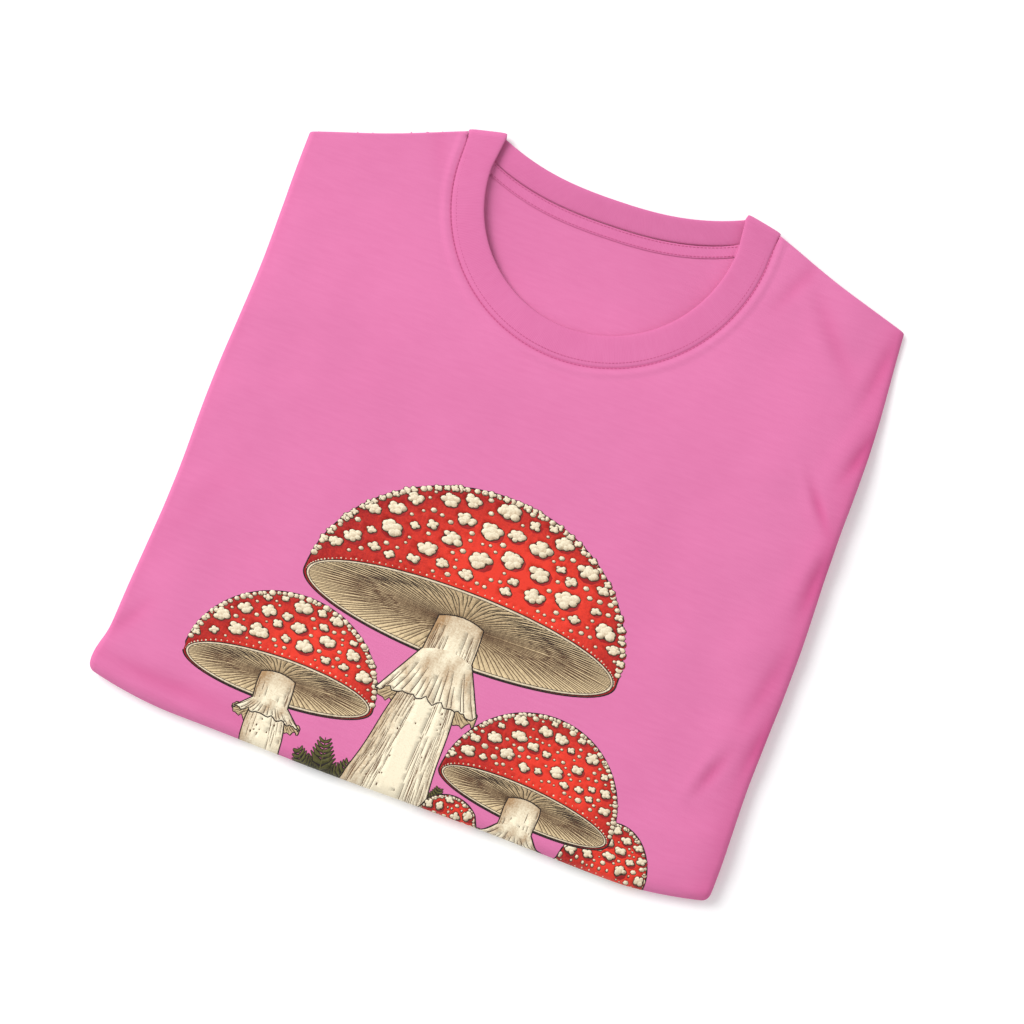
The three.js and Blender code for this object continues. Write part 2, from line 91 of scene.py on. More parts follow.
RIB_THICKNESS = 1.9
RIB_LEVEL = STACK - RIB_THICKNESS / 2 + 0.25
TAPE_WIDTH = 9
SHOULDER_ROLL = (FRONT_LEVEL - BACK_LEVEL) / 2  # radius at which the front rolls over the shoulder
THREAD = 0.54  # width of the sewing thread
FLOOR_AIR = 0.02  # the cloth never comes nearer to the floor


# ---- Folding ---------------------------------------------------------------------------------------------
def ease(low, high, x):
    """0 at low, 1 at high, and smooth between them."""
    t = np.clip((x - low) / (high - low), 0, 1)
    return (1 - np.cos(np.pi * t)) / 2


def bump(x, centre, width):
    """1 at centre, falling smoothly to both sides."""
    return np.exp(-(((x - centre) / width) ** 2))


def by_side(x, values):
    """The first value where x is negative, and the second where it is positive."""
    return np.where(x > 0, values[1], values[0])


def half_width(y):
    """From the centre line to the folded edge."""
    return HALF_WIDTH + (HALF_WIDTH_SHOULDER - HALF_WIDTH) * np.clip(y / SHOULDER_V, 0, 1)


def fold_start(v):
    """Where a side fold begins, from the centre line."""
    return half_width(v) - STACK / 2 - FLAP_TAPER * ease(0, HEM_V, v)


def fold_sides(u, v, level):
    """Folds both sides of the shirt in under its middle."""
    start = fold_start(v)
    past = np.abs(u) - start
    turn = np.clip(np.pi * past / SIDE_ARC, 0, np.pi)
    reach = level - STACK / 2
    x = start + np.minimum(past, 0) - np.maximum(past - SIDE_ARC, 0) + reach * np.sin(turn)
    return np.sign(u) * x, STACK / 2 + reach * np.cos(turn)


def fold_bottom(v, z, lift):
    """Folds the lower part of the shirt under the rest. lift raises the cloth of the flap."""
    down = FOLD_START - v
    turn = np.clip(np.pi * down / BOTTOM_ARC, 0, np.pi)
    radius = z + STACK_GAP
    y = FOLD_START - np.minimum(down, 0) + np.maximum(down - BOTTOM_ARC, 0) - radius * np.sin(turn)
    raised = np.where(turn >= np.pi, lift, 0)
    return y, BASE - STACK_GAP + radius * np.cos(turn) + raised


# Soft creases in the upper plies: where each lies, the way it runs in degrees, its length, width and height.
CREASES = (
    (200, 285, -52, 17, 3.4, -1.5),
    (193, 290, -52, 22, 4.5, 0.8),
    (208, 279, -60, 14, 4, 0.7),
    (214, 328, 72, 20, 4.5, -1.6),
    (205, 334, 76, 26, 6, 0.7),
    (215, 236, 84, 22, 5, -1.6),
    (207, 240, 80, 26, 6, 0.6),
    (197, 92, 70, 15, 4, -1.4),
    (190, 88, 76, 20, 4.5, 0.8),
    (219, 120, 82, 22, 5, -1.2),
    (209, 158, 80, 30, 5.5, -0.9),
    (172, 396, -50, 30, 6, -0.8),
    (158, 402, -54, 30, 6, 0.5),
    (208, 384, 80, 22, 5, -1.0),
    (199, 372, 76, 26, 6, 0.5),
    (136, 424, 66, 22, 5, -0.8),
    (-214, 52, 60, 20, 6, -0.8),
    (-176, 19, 2, 40, 6, -1.1),
    (-110, 14, -2, 44, 7, -0.6),
    (-128, 436, -70, 18, 6, -0.6),
    (-196, 150, 66, 40, 9, -0.35),
)
# Waves of the loose cloth: the way each runs, its length and its phase.
wave_chance = random.Random(5)
WAVES = [
    (wave_chance.uniform(0, math.pi), wave_chance.uniform(24, 74), wave_chance.uniform(0, 2 * math.pi))
    for _ in range(16)
]
WAVE_STEEPNESS = 0.0034
SKEW = 0.037  # the neck end lies turned by about two degrees

# How the folded edges lie. A pair is the value on the left, where x is negative, and the value on the right.
EDGE_DROOP = (1.3, 2.6)
BOTTOM_DROOP = 2.4
EDGE_LOOSENESS = (0.7, 1.1)
MIDDLE_LOOSENESS = 0.25
MIDDLE_SWELL = 0.25
EDGE_BOW = (4.2, 4.6)  # how far an edge swings to the right half way up
EDGE_SHIFT = (-1.6, 0.2)  # how far an edge lies outside its straight line
EDGE_FLARE = (4.5, 0)  # how far an edge spreads outwards close to the bottom fold
CORNER_RISE = 8.5  # how far the corners of the bottom fold pull back
SHOULDER_HOLLOW = 2.2  # how far the shoulder edge sinks in half way along

# How much painted shade deepens the colour, from 0 to 1, and how far from an edge it still does.
EDGE_SHADE = (0.3, 0.7)
EDGE_SHADE_REACH = (6, 12)
BOTTOM_SHADE = 0.4
SEAM_SHADE = 0.7
CREASE_SHADE = 0.45

# The front just outside the neck seam, as (distance past the seam, half width, height).
NECK_RELIEF = ((4.8, 2.4, 0.5), (0, 1.1, -0.4), (9, 2.2, -0.15))
NECK_RELIEF_WIDTH = 12


def crease_height(x, y, only_valleys=False):
    """How far the creases raise the cloth."""
    total = np.zeros_like(x)
    for cx, cy, degrees, length, width, height in CREASES:
        c, s = math.cos(math.radians(degrees)), math.sin(math.radians(degrees))
        if height < 0 or not only_valleys:
            along = bump((x - cx) * c + (y - cy) * s, 0, length)
            across = bump((y - cy) * c - (x - cx) * s, 0, width)
            total += height * along * across
    return total


def wave_height(x, y):
    """How far the waves of the loose cloth raise it."""
    total = np.zeros_like(x)
    for way, length, phase in WAVES:
        along = x * math.cos(way) + y * math.sin(way)
        total += WAVE_STEEPNESS * length * np.sin(along * 2 * math.pi / length + phase)
    return total


def settle(x, y, z):
    """The unevenness of cloth folded by hand, in millimetres. The flap below takes only its share of it."""
    top = 2 * STACK + 2 * STACK_GAP - BASE * ease(FLAP_END_V, SUNK_V, y)
    share = np.clip(z / top, 0, 1.2)
    inside = np.maximum(half_width(y) - np.abs(x), 0)
    droop = by_side(x, EDGE_DROOP) * np.exp(-inside / 11) + BOTTOM_DROOP * np.exp(-np.maximum(y, 0) / 12)
    loose = by_side(x, EDGE_LOOSENESS) * np.exp(-inside / 45) + MIDDLE_LOOSENESS
    swell = MIDDLE_SWELL * np.sin(x / 61 + y / 83 + 0.6) + loose * wave_height(x, y)
    z = z + share * (swell - droop) + share**3 * crease_height(x, y)
    side = np.clip(np.abs(x) / half_width(y), 0, 1.05) ** 6
    wobble = 0.9 * np.sin(y / 26 + np.sign(x)) + 0.7 * np.sin(y / 61 + 2 * np.sign(x))
    flare = by_side(x, EDGE_FLARE) * bump(y, 10, 20)
    corner = np.clip((np.abs(x) - 160) / 62, 0, 1.1) ** 1.8
    bow = by_side(x, EDGE_BOW) * np.sin(np.pi * np.clip(y / 420, 0, 1)) * side
    shift = by_side(x, EDGE_SHIFT)
    moved_x = x + np.sign(x) * side * (wobble + shift) + bow - side * flare
    rise = CORNER_RISE * corner * (1 - ease(4, 62, y)) + 0.5 * np.sin(x / 33) * (1 - ease(0, 30, y))
    hollow = SHOULDER_HOLLOW * ease(350, 440, y) * bump(np.abs(x), 165, 42)
    return moved_x, y + rise - hollow + SKEW * x * y / FOLDED_LENGTH, z


def fold_shade(x, y):
    """Painted shade along the cloth's folded edges, beside its neck seam and in its creases, from 0 to 1."""
    inside = np.maximum(half_width(y) - np.abs(x), 0)
    sides = by_side(x, EDGE_SHADE) * np.exp(-inside / by_side(x, EDGE_SHADE_REACH))
    bottom = BOTTOM_SHADE * np.exp(-np.maximum(y, 0) / 7)
    ring = np.hypot(x, np.minimum(y - NECK_V, 0))
    neck = SEAM_SHADE * bump(ring, SEAM_RADIUS, 1.6) * (y > NECK_FREE_FROM_V)
    creases = -CREASE_SHADE * crease_height(x, y, only_valleys=True)
    return np.clip(sides + bottom + neck + creases, 0, 1)


def surface(u, v, level, dip=0, lift=0):
    """Folds points of the cloth and returns their places in the frame, in metres."""
    u, v, level = np.broadcast_arrays(*(np.asarray(values, float) for values in (u, v, level)))
    x, z = fold_sides(u, v, level)
    y, z = fold_bottom(v, z, lift)
    z = z - BASE * ease(FLAP_END_V, SUNK_V, v) - dip
    x, y, z = settle(x, y, z)
    return np.stack([x, y - FOLDED_LENGTH / 2, np.maximum(z, FLOOR_AIR)], axis=-1) * MM


def neck_distance(u, v):
    """How far outside the neck seam a point of the front lies."""
    ring = np.hypot(u, np.minimum(v - NECK_V, 0))
    return ring - SEAM_RADIUS


def neck_dip(u, v):
    """How far the back drops inside the neck."""
    return NECK_DIP * ease(112, 70, np.abs(u)) * ease(340, 376, v)


def hem_lift(v):
    """How far the hem of the front is raised inside the flap."""
    return HEM_LIFT * ease(HEM_V + 32, HEM_V + HEM_DEPTH, v)


def hem_step(v):
    """How much the cloth is thicker at the hem."""
    return HEM_STEP * ease(HEM_V + HEM_DEPTH + 1, HEM_V + HEM_DEPTH - 1, v)


def armhole_reach(share):
    """The armhole's distance from the centre line, from the underarm (0) up to the shoulder (1)."""
    return SHOULDER_U + (CHEST_HALF - SHOULDER_U) * (1 - share) ** ARMHOLE_CURVE


def shoulder_v(u):
    """The height of the shoulder seam."""
    slope = (SHOULDER_V - NECK_POINT_V) / (SHOULDER_U - NECK_POINT_U)
    return NECK_POINT_V + slope * (np.abs(u) - NECK_POINT_U)


def back_seam_v(u):
    """The height of the back neck seam."""
    return BACK_SEAM_V + (NECK_POINT_V - BACK_SEAM_V) * np.minimum(1, np.abs(u) / NECK_POINT_U) ** 2.5


def front_point(u, v, level):
    """A point of the front. It rolls over the shoulder, and its seam allowance raises it round the neck."""
    over = np.maximum(v - shoulder_v(u), 0)
    turn = np.clip(over / SHOULDER_ROLL, 0, math.pi)
    rolled = SEAM_LEVEL + (level - SEAM_LEVEL) * np.cos(turn)
    rolled_v = np.minimum(v, shoulder_v(u)) + (level - SEAM_LEVEL) * np.sin(turn)
    past_seam = neck_distance(u, v)
    relief = sum(height * bump(past_seam, centre, width) for centre, width, height in NECK_RELIEF)
    by_neck = (np.abs(u) < SEAM_RADIUS + NECK_RELIEF_WIDTH) * (v > NECK_FREE_FROM_V)
    level = np.where(over > 0, rolled, level + relief * by_neck + hem_step(v))
    return surface(u, np.where(over > 0, rolled_v, v), level, lift=hem_lift(v))


def back_point(u, v, level):
    """A point of the back. It drops inside the neck."""
    return surface(u, v, level - hem_step(v), dip=neck_dip(u, v))


# ---- Meshes ----------------------------------------------------------------------------------------------
def stops(*ranges):
    """Grid stops from (start, end, step) ranges."""
    parts = [np.linspace(a, b, max(1, round(abs(b - a) / step)) + 1) for a, b, step in ranges]
    return np.unique(np.round(np.concatenate(parts), 4))


def topmost(spots, outlines):
    """The last outline that covers each spot, or -1 where none does."""
    owners = np.full(len(spots), -1)
    order = np.argsort(spots[:, 0])
    columns = spots[order, 0]
    for number in range(len(outlines) - 1, -1, -1):
        start = np.asarray(outlines[number], float)
        low, high = start.min(axis=0), start.max(axis=0)
        near = order[np.searchsorted(columns, low[0]) : np.searchsorted(columns, high[0])]
        near = near[(owners[near] < 0) & (spots[near, 1] > low[1]) & (spots[near, 1] < high[1])]
        x, y = spots[near, 0, None], spots[near, 1, None]
        (x0, y0), (x1, y1) = start.T, np.roll(start, -1, axis=0).T
        rise = np.where(y1 == y0, 1e-9, y1 - y0)
        beside = ((y0 > y) != (y1 > y)) & (x < x0 + (y - y0) * (x1 - x0) / rise)
        owners[near[(beside * np.sign(rise)).sum(axis=1) != 0]] = number
    return owners


def triangulate(points, edges):
    """Triangles between flat points that keep every edge."""
    flat, _, faces, _, _, _ = delaunay_2d_cdt([tuple(p) for p in points], edges, [], 0, 1e-4, False)
    return np.array([tuple(p) for p in flat]), np.array(faces)


def borders(faces, owners):
    """The edges between triangles that different outlines cover."""
    ends = np.sort(np.concatenate([faces[:, [0, 1]], faces[:, [1, 2]], faces[:, [2, 0]]]), axis=1)
    edges, which = np.unique(ends, axis=0, return_inverse=True)
    low, high = np.full(len(edges), len(owners)), np.full(len(edges), -1)
    np.minimum.at(low, which.ravel(), np.tile(owners, 3))
    np.maximum.at(high, which.ravel(), np.tile(owners, 3))
    return edges[low != high]


def cut(outlines, columns, rows, lines=()):
    """Cuts flat outlines along a grid and along lines.

    Returns the points, the triangles, and the number of the last outline that covers each triangle.
    """
    points, edges = [], []
    for outline in outlines:
        first = len(points)
        points.extend(outline)
        edges += [(first + k, first + (k + 1) % len(outline)) for k in range(len(outline))]
    flat, faces = triangulate(points, edges)
    kept = borders(faces, topmost(flat[faces].mean(axis=1), outlines))
    used, kept = np.unique(kept, return_inverse=True)
    points = [tuple(p) for p in flat[used]]
    edges = [tuple(edge) for edge in kept.reshape(-1, 2).tolist()]
    first, count = len(points), len(rows)
    points += [(u, v) for u in columns for v in rows]
    edges += [(k, k + 1) for k in range(first, len(points) - 1) if (k + 1 - first) % count]
    edges += [(k, k + count) for k in range(first, len(points) - count)]
    for line in lines:
        edges += [(k, k + 1) for k in range(len(points), len(points) + len(line) - 1)]
        points.extend(line)
    flat, faces = triangulate(points, edges)
    owners = topmost(flat[faces].mean(axis=1), outlines)
    faces, owners = faces[owners >= 0], owners[owners >= 0]
    used, faces = np.unique(faces, return_inverse=True)
    return flat[used], faces.reshape(-1, 3).tolist(), owners


def closed_sheet(points, faces, upper, lower):
    """Vertices and faces of a closed sheet, from flat points and faces and the places of its two sides."""
    count = len(points)
    forward = {(a, b) for face in faces for a, b in zip(face, face[1:] + face[:1])}
    rim = [(b, a, a + count, b + count) for a, b in forward if (b, a) not in forward]
    under = [[k + count for k in reversed(face)] for face in faces]
    return np.concatenate([upper, lower]), faces + under + sorted(rim)


def new_piece(name, vertices, faces, flat=None):
    """An object at the origin. flat is each vertex's place on the flat cloth, for the UV map."""
    mesh = bpy.data.meshes.new(name)
    mesh.from_pydata([tuple(p) for p in vertices], [], [tuple(f) for f in faces])
    if flat is not None:
        corners = np.empty(len(mesh.loops), dtype=np.int64)
        mesh.loops.foreach_get("vertex_index", corners)
        layer = mesh.uv_layers.new(name="cloth")
        layer.data.foreach_set("uv", (np.asarray(flat)[corners] * MM).ravel())
    mesh.polygons.foreach_set("use_smooth", [True] * len(mesh.polygons))
    mesh.update()
    piece = bpy.data.objects.new(name, mesh)
    bpy.context.scene.collection.objects.link(piece)
    return piece


def finish_piece(piece, slot, *nodes):
    """States the piece's body and the nodes that it replaces. Its slot is not used."""
    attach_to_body(piece, "root")
    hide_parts(*nodes)


def grid_faces(columns, rows, closed_columns=False, closed_rows=False):
    """Quads of a grid of points stored column by column."""
    faces = []
    for i in range(columns if closed_columns else columns - 1):
        for j in range(rows if closed_rows else rows - 1):
            a, b = i * rows, (i + 1) % columns * rows
            faces.append((a + j, b + j, b + (j + 1) % rows, a + (j + 1) % rows))
    return faces


# ---- Materials -------------------------------------------------------------------------------------------
def new_group(name, inputs, outputs):
    """A shader node group. inputs maps a name to its default value, outputs a name to its socket type."""
    group = bpy.data.node_groups.new(name, "ShaderNodeTree")
    for socket, value in inputs.items():
        kind = "NodeSocketFloat" if isinstance(value, (int, float)) else "NodeSocketColor"
        kind = "NodeSocketVector" if value is None else kind
        made = group.interface.new_socket(socket, in_out="INPUT", socket_type=kind)
        if value is not None:
            made.default_value = value
    for socket, kind in outputs.items():
        group.interface.new_socket(socket, in_out="OUTPUT", socket_type=kind)
    return group


class Wiring:
    """Adds nodes to a tree. A value given for a socket is either a constant or the socket that feeds it."""

    def __init__(self, tree):
        self.tree = tree

    def node(self, kind, values=(), **settings):
        made = self.tree.nodes.new(kind)
        for key, value in settings.items():
            setattr(made, key, value)
        for key, value in dict(values).items():
            if isinstance(value, bpy.types.NodeSocket):
                self.tree.links.new(value, made.inputs[key])
            else:
                made.inputs[key].default_value = value
        return made

    def math(self, operation, *values, clamp=False):
        made = self.node("ShaderNodeMath", dict(enumerate(values)), operation=operation, use_clamp=clamp)
        return made.outputs[0]

    def mix(self, factor, first, second, blend="MIX"):
        made = self.node("ShaderNodeMix", data_type="RGBA", blend_type=blend)
        for index, value in ((0, factor), (6, first), (7, second)):
            if isinstance(value, bpy.types.NodeSocket):
                self.tree.links.new(value, made.inputs[index])
            else:
                made.inputs[index].default_value = value
        return made.outputs[2]

    def scaled(self, vector, scale):
        return self.node("ShaderNodeMapping", {"Vector": vector, "Scale": scale}).outputs[0]

    def noise(self, vector, scale, detail=3.0, roughness=0.55):
        values = {"Vector": vector, "Scale": scale, "Detail": detail, "Roughness": roughness}
        return self.node("ShaderNodeTexNoise", values).outputs[0]

    def remap(self, value, low, high, new_low, new_high):
        values = {"Value": value, "From Min": low, "From Max": high, "To Min": new_low, "To Max": new_high}
        return self.node("ShaderNodeMapRange", values).outputs[0]


def make_knit_group():
    """Plain jersey: columns of V-shaped loops. Cloth is a place on the flat cloth in metres."""
    group = new_group(
        "jersey knit",
        {"Cloth": None, "Column width": 0.00078, "Course height": 0.00062},
        {"Height": "NodeSocketFloat", "Tone": "NodeSocketFloat"},
    )
    w = Wiring(group)
    given = w.node("NodeGroupInput").outputs
    parts = w.node("ShaderNodeSeparateXYZ", {0: given["Cloth"]}).outputs
    column = w.math("DIVIDE", parts[0], given["Column width"])
    across = w.math("ABSOLUTE", w.math("SUBTRACT", w.math("FRACT", column), 0.5))
    course = w.math("DIVIDE", parts[1], given["Course height"])
    leaning = w.math("ADD", course, w.math("MULTIPLY", across, 1.3))
    loop = w.math("SINE", w.math("MULTIPLY", leaning, 2 * math.pi))
    rounded = w.math("SUBTRACT", 1.0, w.math("POWER", w.math("MULTIPLY", across, 2.0), 2.0))
    height = w.math("MULTIPLY_ADD", loop, 0.25, w.math("MULTIPLY", rounded, 0.75))
    slubs = w.noise(w.scaled(given["Cloth"], (60, 420, 1)), 1.0, 4.0)
    clouds = w.noise(given["Cloth"], 14.0, 3.0)
    tone = w.math("ADD", w.math("MULTIPLY", slubs, 0.6), w.math("MULTIPLY", clouds, 0.4))
    fuzz = w.noise(given["Cloth"], 900.0, 2.0)
    result = w.node("NodeGroupOutput")
    group.links.new(w.math("MULTIPLY_ADD", fuzz, 0.5, height), result.inputs["Height"])
    group.links.new(tone, result.inputs["Tone"])
    return group


def make_rib_group():
    """Rib knit: fine ridges across a band. Cloth is the place along and across the band in metres."""
    group = new_group(
        "rib knit",
        {"Cloth": None, "Rib width": 0.0011},
        {"Height": "NodeSocketFloat", "Tone": "NodeSocketFloat"},
    )
    w = Wiring(group)
    given = w.node("NodeGroupInput").outputs
    parts = w.node("ShaderNodeSeparateXYZ", {0: given["Cloth"]}).outputs
    turns = w.math("MULTIPLY", w.math("DIVIDE", parts[0], given["Rib width"]), 2 * math.pi)
    ridge = w.math("SINE", turns)
    course = w.math("SINE", w.math("MULTIPLY", parts[1], 2 * math.pi / 0.0007))
    height = w.math("MULTIPLY_ADD", course, 0.2, w.math("MULTIPLY", ridge, 0.5))
    slubs = w.noise(w.scaled(given["Cloth"], (420, 90, 1)), 1.0, 4.0)
    clouds = w.noise(given["Cloth"], 22.0, 3.0)
    tone = w.math("ADD", w.math("MULTIPLY", slubs, 0.5), w.math("MULTIPLY", clouds, 0.5))
    result = w.node("NodeGroupOutput")
    group.links.new(height, result.inputs["Height"])
    group.links.new(tone, result.inputs["Tone"])
    return group


knit_group = make_knit_group()
rib_group = make_rib_group()


# The first tint is the colour of the painted shade in folds and creases; the other two tint the sheen.
FOLD_SHADE_TINT = (0.86, 0.55, 0.70, 1)
FUZZ_TINT = (1.0, 0.62, 0.8, 1)
THREAD_FUZZ_TINT = (1.0, 0.7, 0.85, 1)


def new_material(name):
    material = bpy.data.materials.new(name)
    material.use_nodes = True
    material.node_tree.nodes.clear()
    return material, Wiring(material.node_tree)


def principled(w, colour, roughness, normal=None, sheen=0.0, sheen_tint=(1, 1, 1, 1), glow=0.0):
    values = {
        "Base Color": colour,
        "Roughness": roughness,
        "Specular IOR Level": 0.25,
        "Sheen Weight": sheen,
        "Sheen Roughness": 0.6,
        "Sheen Tint": sheen_tint,
        "Emission Strength": glow,
    }
    shader = w.node("ShaderNodeBsdfPrincipled", values)
    if normal is not None:
        w.tree.links.new(normal, shader.inputs["Normal"])
    output = w.node("ShaderNodeOutputMaterial")
    w.tree.links.new(shader.outputs[0], output.inputs["Surface"])


def bumped(w, height, depth, strength=1.0):
    values = {"Height": height, "Distance": depth, "Strength": strength}
    return w.node("ShaderNodeBump", values).outputs["Normal"]


def knit_material(name, group, light, dark, depth):
    """Dyed cotton: knit relief, uneven dye, painted shade in its hollows and folds, and its fuzz's sheen."""
    material, w = new_material(name)
    cloth = w.node("ShaderNodeUVMap", uv_map="cloth").outputs[0]
    knit = w.node("ShaderNodeGroup", node_tree=group)
    w.tree.links.new(cloth, knit.inputs["Cloth"])
    # The mix is uneven dye plus painted shade: the knit's low places, between its loops, are coloured
    # darker.
    hollow = w.remap(knit.outputs["Height"], 0.0, 1.0, 0.35, 0.0)
    uneven = w.remap(knit.outputs["Tone"], 0.35, 0.65, 0.0, 1.0)
    colour = w.mix(w.math("ADD", w.math("MULTIPLY", uneven, 0.55), hollow, clamp=True), light, dark)
    # Painted shade: fold_shade deepens the colour along folded edges, by the neck seam and in creases.
    folds = w.node("ShaderNodeAttribute", attribute_name="fold_shade").outputs["Fac"]
    colour = w.mix(folds, colour, w.mix(1.0, colour, FOLD_SHADE_TINT, "MULTIPLY"))
    roughness = w.remap(knit.outputs["Tone"], 0.3, 0.7, 0.84, 0.96)
    relief = bumped(w, knit.outputs["Height"], depth)
    principled(w, colour, roughness, relief, sheen=0.12, sheen_tint=FUZZ_TINT)
    return material


def thread_material():
    """Spun thread: a fine twist along each stitch."""
    material, w = new_material("sewing thread")
    place = w.node("ShaderNodeTexCoord").outputs["Object"]
    twist = w.noise(w.scaled(place, (5200, 5200, 1800)), 1.0, 2.0)
    colour = w.mix(twist, (0.58, 0.105, 0.265, 1), (0.46, 0.07, 0.19, 1))
    relief = bumped(w, twist, 0.00006)
    principled(w, colour, 0.62, relief, sheen=0.1, sheen_tint=THREAD_FUZZ_TINT)
    return material


jersey = knit_material(
    "pink jersey",
    knit_group,
    light=(0.735, 0.199, 0.413, 1),
    dark=(0.685, 0.168, 0.367, 1),
    depth=0.00011,
)
inner_jersey = knit_material(
    "pink jersey inside",
    knit_group,
    light=(0.722, 0.192, 0.402, 1),
    dark=(0.672, 0.160, 0.355, 1),
    depth=0.00011,
)
rib_knit = knit_material(
    "pink rib knit",
    rib_group,
    light=(0.685, 0.176, 0.378, 1),
    dark=(0.635, 0.147, 0.333, 1),
    depth=0.00009,
)
thread_finish = thread_material()


# ---- Body panels -----------------------------------------------------------------------------------------
ARMHOLE_STEPS = 14


def armhole(hand, roll):
    """The outer edge above the underarm, going up on the wearer's left (1) and down on the right (-1)."""
    height = SHOULDER_V + roll - UNDERARM_V
    shares = [k / ARMHOLE_STEPS for k in range(ARMHOLE_STEPS + 1)]
    edge = [(hand * armhole_reach(t), UNDERARM_V + height * t) for t in shares]
    return edge if hand > 0 else edge[::-1]


def panel_outline(neck, roll):
    """A body panel's cut outline. neck runs from the wearer's left to right, roll goes over the shoulder."""
    hem = [(-CHEST_HALF, HEM_V), (CHEST_HALF, HEM_V)]
    left_shoulder = [(NECK_POINT_U, NECK_POINT_V + roll)]
    right_shoulder = [(-NECK_POINT_U, NECK_POINT_V + roll)]
    return hem + armhole(1, roll) + left_shoulder + neck + right_shoulder + armhole(-1, roll)


# Grid stops of the body panels, close together at the side folds, the hem and the bottom fold.
PANEL_COLUMNS = stops(
    (-CHEST_HALF, -236, 4.5),
    (-236, -205, 1.05),
    (-205, -120, 5),
    (-120, -100, 2.5),
    (-100, 100, 5),
    (100, 205, 2.5),
    (205, 236, 1.05),
    (236, CHEST_HALF, 4.5),
)
PANEL_ROWS = stops(
    (HEM_V, HEM_V + 18, 6),
    (HEM_V + 18, HEM_V + 26, 1),
    (HEM_V + 26, -24, 5),
    (-24, 12, 1.2),
    (12, 315, 3.4),
    (315, 452, 3.05),
)


def flat_area(points, faces):
    """Square metres of the flat triangles."""
    corners = points[np.array(faces)]
    first, second = corners[:, 1] - corners[:, 0], corners[:, 2] - corners[:, 0]
    return float(np.abs(first[:, 0] * second[:, 1] - first[:, 1] * second[:, 0]).sum() / 2 * MM * MM)


def shoulder_lines():
    """Lines along each shoulder, close enough together for the front to roll over it."""
    u = np.linspace(NECK_POINT_U, SHOULDER_U, 40)
    lines = []
    for k in range(-2, 6):
        drop = SHOULDER_ROLL * math.pi * k / 6
        for hand in (1, -1):
            lines.append(list(zip((hand * u).tolist(), (shoulder_v(u) + drop).tolist())))
    return lines


def neck_lines():
    """Lines round the front neck, close enough together for the ridge beside its seam."""
    turns = np.linspace(0, math.pi, 81)
    lines = []
    for past_seam in (0.5, 1.1, 1.9, 3.0, 4.2, 5.6, 7.2, 9.4):
        radius = SEAM_RADIUS + past_seam
        arc = zip((radius * np.cos(turns)).tolist(), (NECK_V - radius * np.sin(turns)).tolist())
        lines.append([(radius, NECK_POINT_V - 4), *arc, (-radius, NECK_POINT_V - 4)])
    return lines


def make_panel(name, outline, point, level, material, lines=()):
    """A body panel, and its flat area. point is front_point or back_point."""
    points, faces, _ = cut([outline], PANEL_COLUMNS, PANEL_ROWS, lines)
    u, v = points.T
    upper = point(u, v, level + JERSEY / 2)
    lower = point(u, v, level - JERSEY / 2)
    vertices, all_faces = closed_sheet(points, faces, upper, lower)
    panel = new_piece(name, vertices, all_faces, np.concatenate([points, points]))
    # Painted shade along the folded edges, the neck seam and the creases, on the ply that lies on top.
    shade = panel.data.attributes.new("fold_shade", "FLOAT", "POINT")
    upper_half = np.abs(u) < fold_start(v) + SIDE_ARC / 2
    shade.data.foreach_set("value", np.tile(fold_shade(u, v) * upper_half, 2))
    panel.data.materials.append(material)
    return panel, flat_area(points, faces)


neck_turns = [math.pi * k / 60 for k in range(61)]
front_neck = [(SEAM_RADIUS * math.cos(a), NECK_V - SEAM_RADIUS * math.sin(a)) for a in neck_turns]
back_neck_u = [NECK_POINT_U * (1 - k / 24) for k in range(1, 48)]
back_neck = [(u, float(back_seam_v(u))) for u in back_neck_u]
front_cloth, front_area = make_panel(
    "front_cloth",
    panel_outline(front_neck, SHOULDER_ROLL * math.pi),
    front_point,
    FRONT_LEVEL,
    jersey,
    shoulder_lines() + neck_lines(),
)
back_cloth, back_area = make_panel(
    "back_cloth",
    panel_outline(back_neck, 0),
    back_point,
    BACK_LEVEL,
    inner_jersey,
)


# ---- The printed toadstools ------------------------------------------------------------------------------
LINE_COLOURS = ((0.013, 0.009, 0.010, 1), (0.19, 0.095, 0.045, 1))
INKS = {
    # name: (darkest, lightest) colour
    "red ink": ((0.31, 0.009, 0.010, 1), (0.79, 0.042, 0.021, 1)),
    "cream ink": ((0.40, 0.24, 0.115, 1), (0.92, 0.82, 0.61, 1)),
    "gill ink": ((0.19, 0.105, 0.045, 1), (0.75, 0.58, 0.34, 1)),
    "gill line ink": LINE_COLOURS,
    "line ink": LINE_COLOURS,
    "leaf ink": ((0.020, 0.020, 0.007, 1), (0.125, 0.115, 0.032, 1)),
}
INK_NAMES = list(INKS)
OUTLINE = 1.1  # width of the drawn outlines
RIM_TONE = 0.3  # tone of a film's cut edges
LARGE_WART, MIDDLE_WART = 4.5, 2.6
WART_GAP = 0.28  # between the warts, as a share of the largest
FAR_PLEATS, NEAR_PLEATS = 30, 15
LEAFLET_PAIRS = 8


class Drawing:
    """Shapes on the flat front, in millimetres. A later shape lies over the earlier ones."""

    def __init__(self, seed):
        self.outlines = []
        self.inks = []
        self.tones = []
        self.chance = random.Random(seed)

    def add(self, place, points, ink, tone):
        """tone is a number from 0, dark, to 1, light, or a function of the points before they are placed."""
        points = np.asarray(points, float)
        if signed_area(points) < 0:
            points = points[::-1]
        self.outlines.append([tuple(p) for p in place.to_cloth(points)])
        self.inks.append(INK_NAMES.index(ink))
        shade = tone if callable(tone) else (lambda x, y: np.full_like(x, tone))
        self.tones.append(lambda flat: shade(*place.to_drawing(flat).T))

    def take_off(self, first):
        """Takes away every shape from number first on, and returns them."""
        layers = (self.outlines, self.inks, self.tones)
        taken = [layer[first:] for layer in layers]
        for layer in layers:
            del layer[first:]
        return taken

    def lay_on(self, taken):
        """Lays shapes that were taken off over the others again."""
        for layer, shapes in zip((self.outlines, self.inks, self.tones), taken):
            layer.extend(shapes)


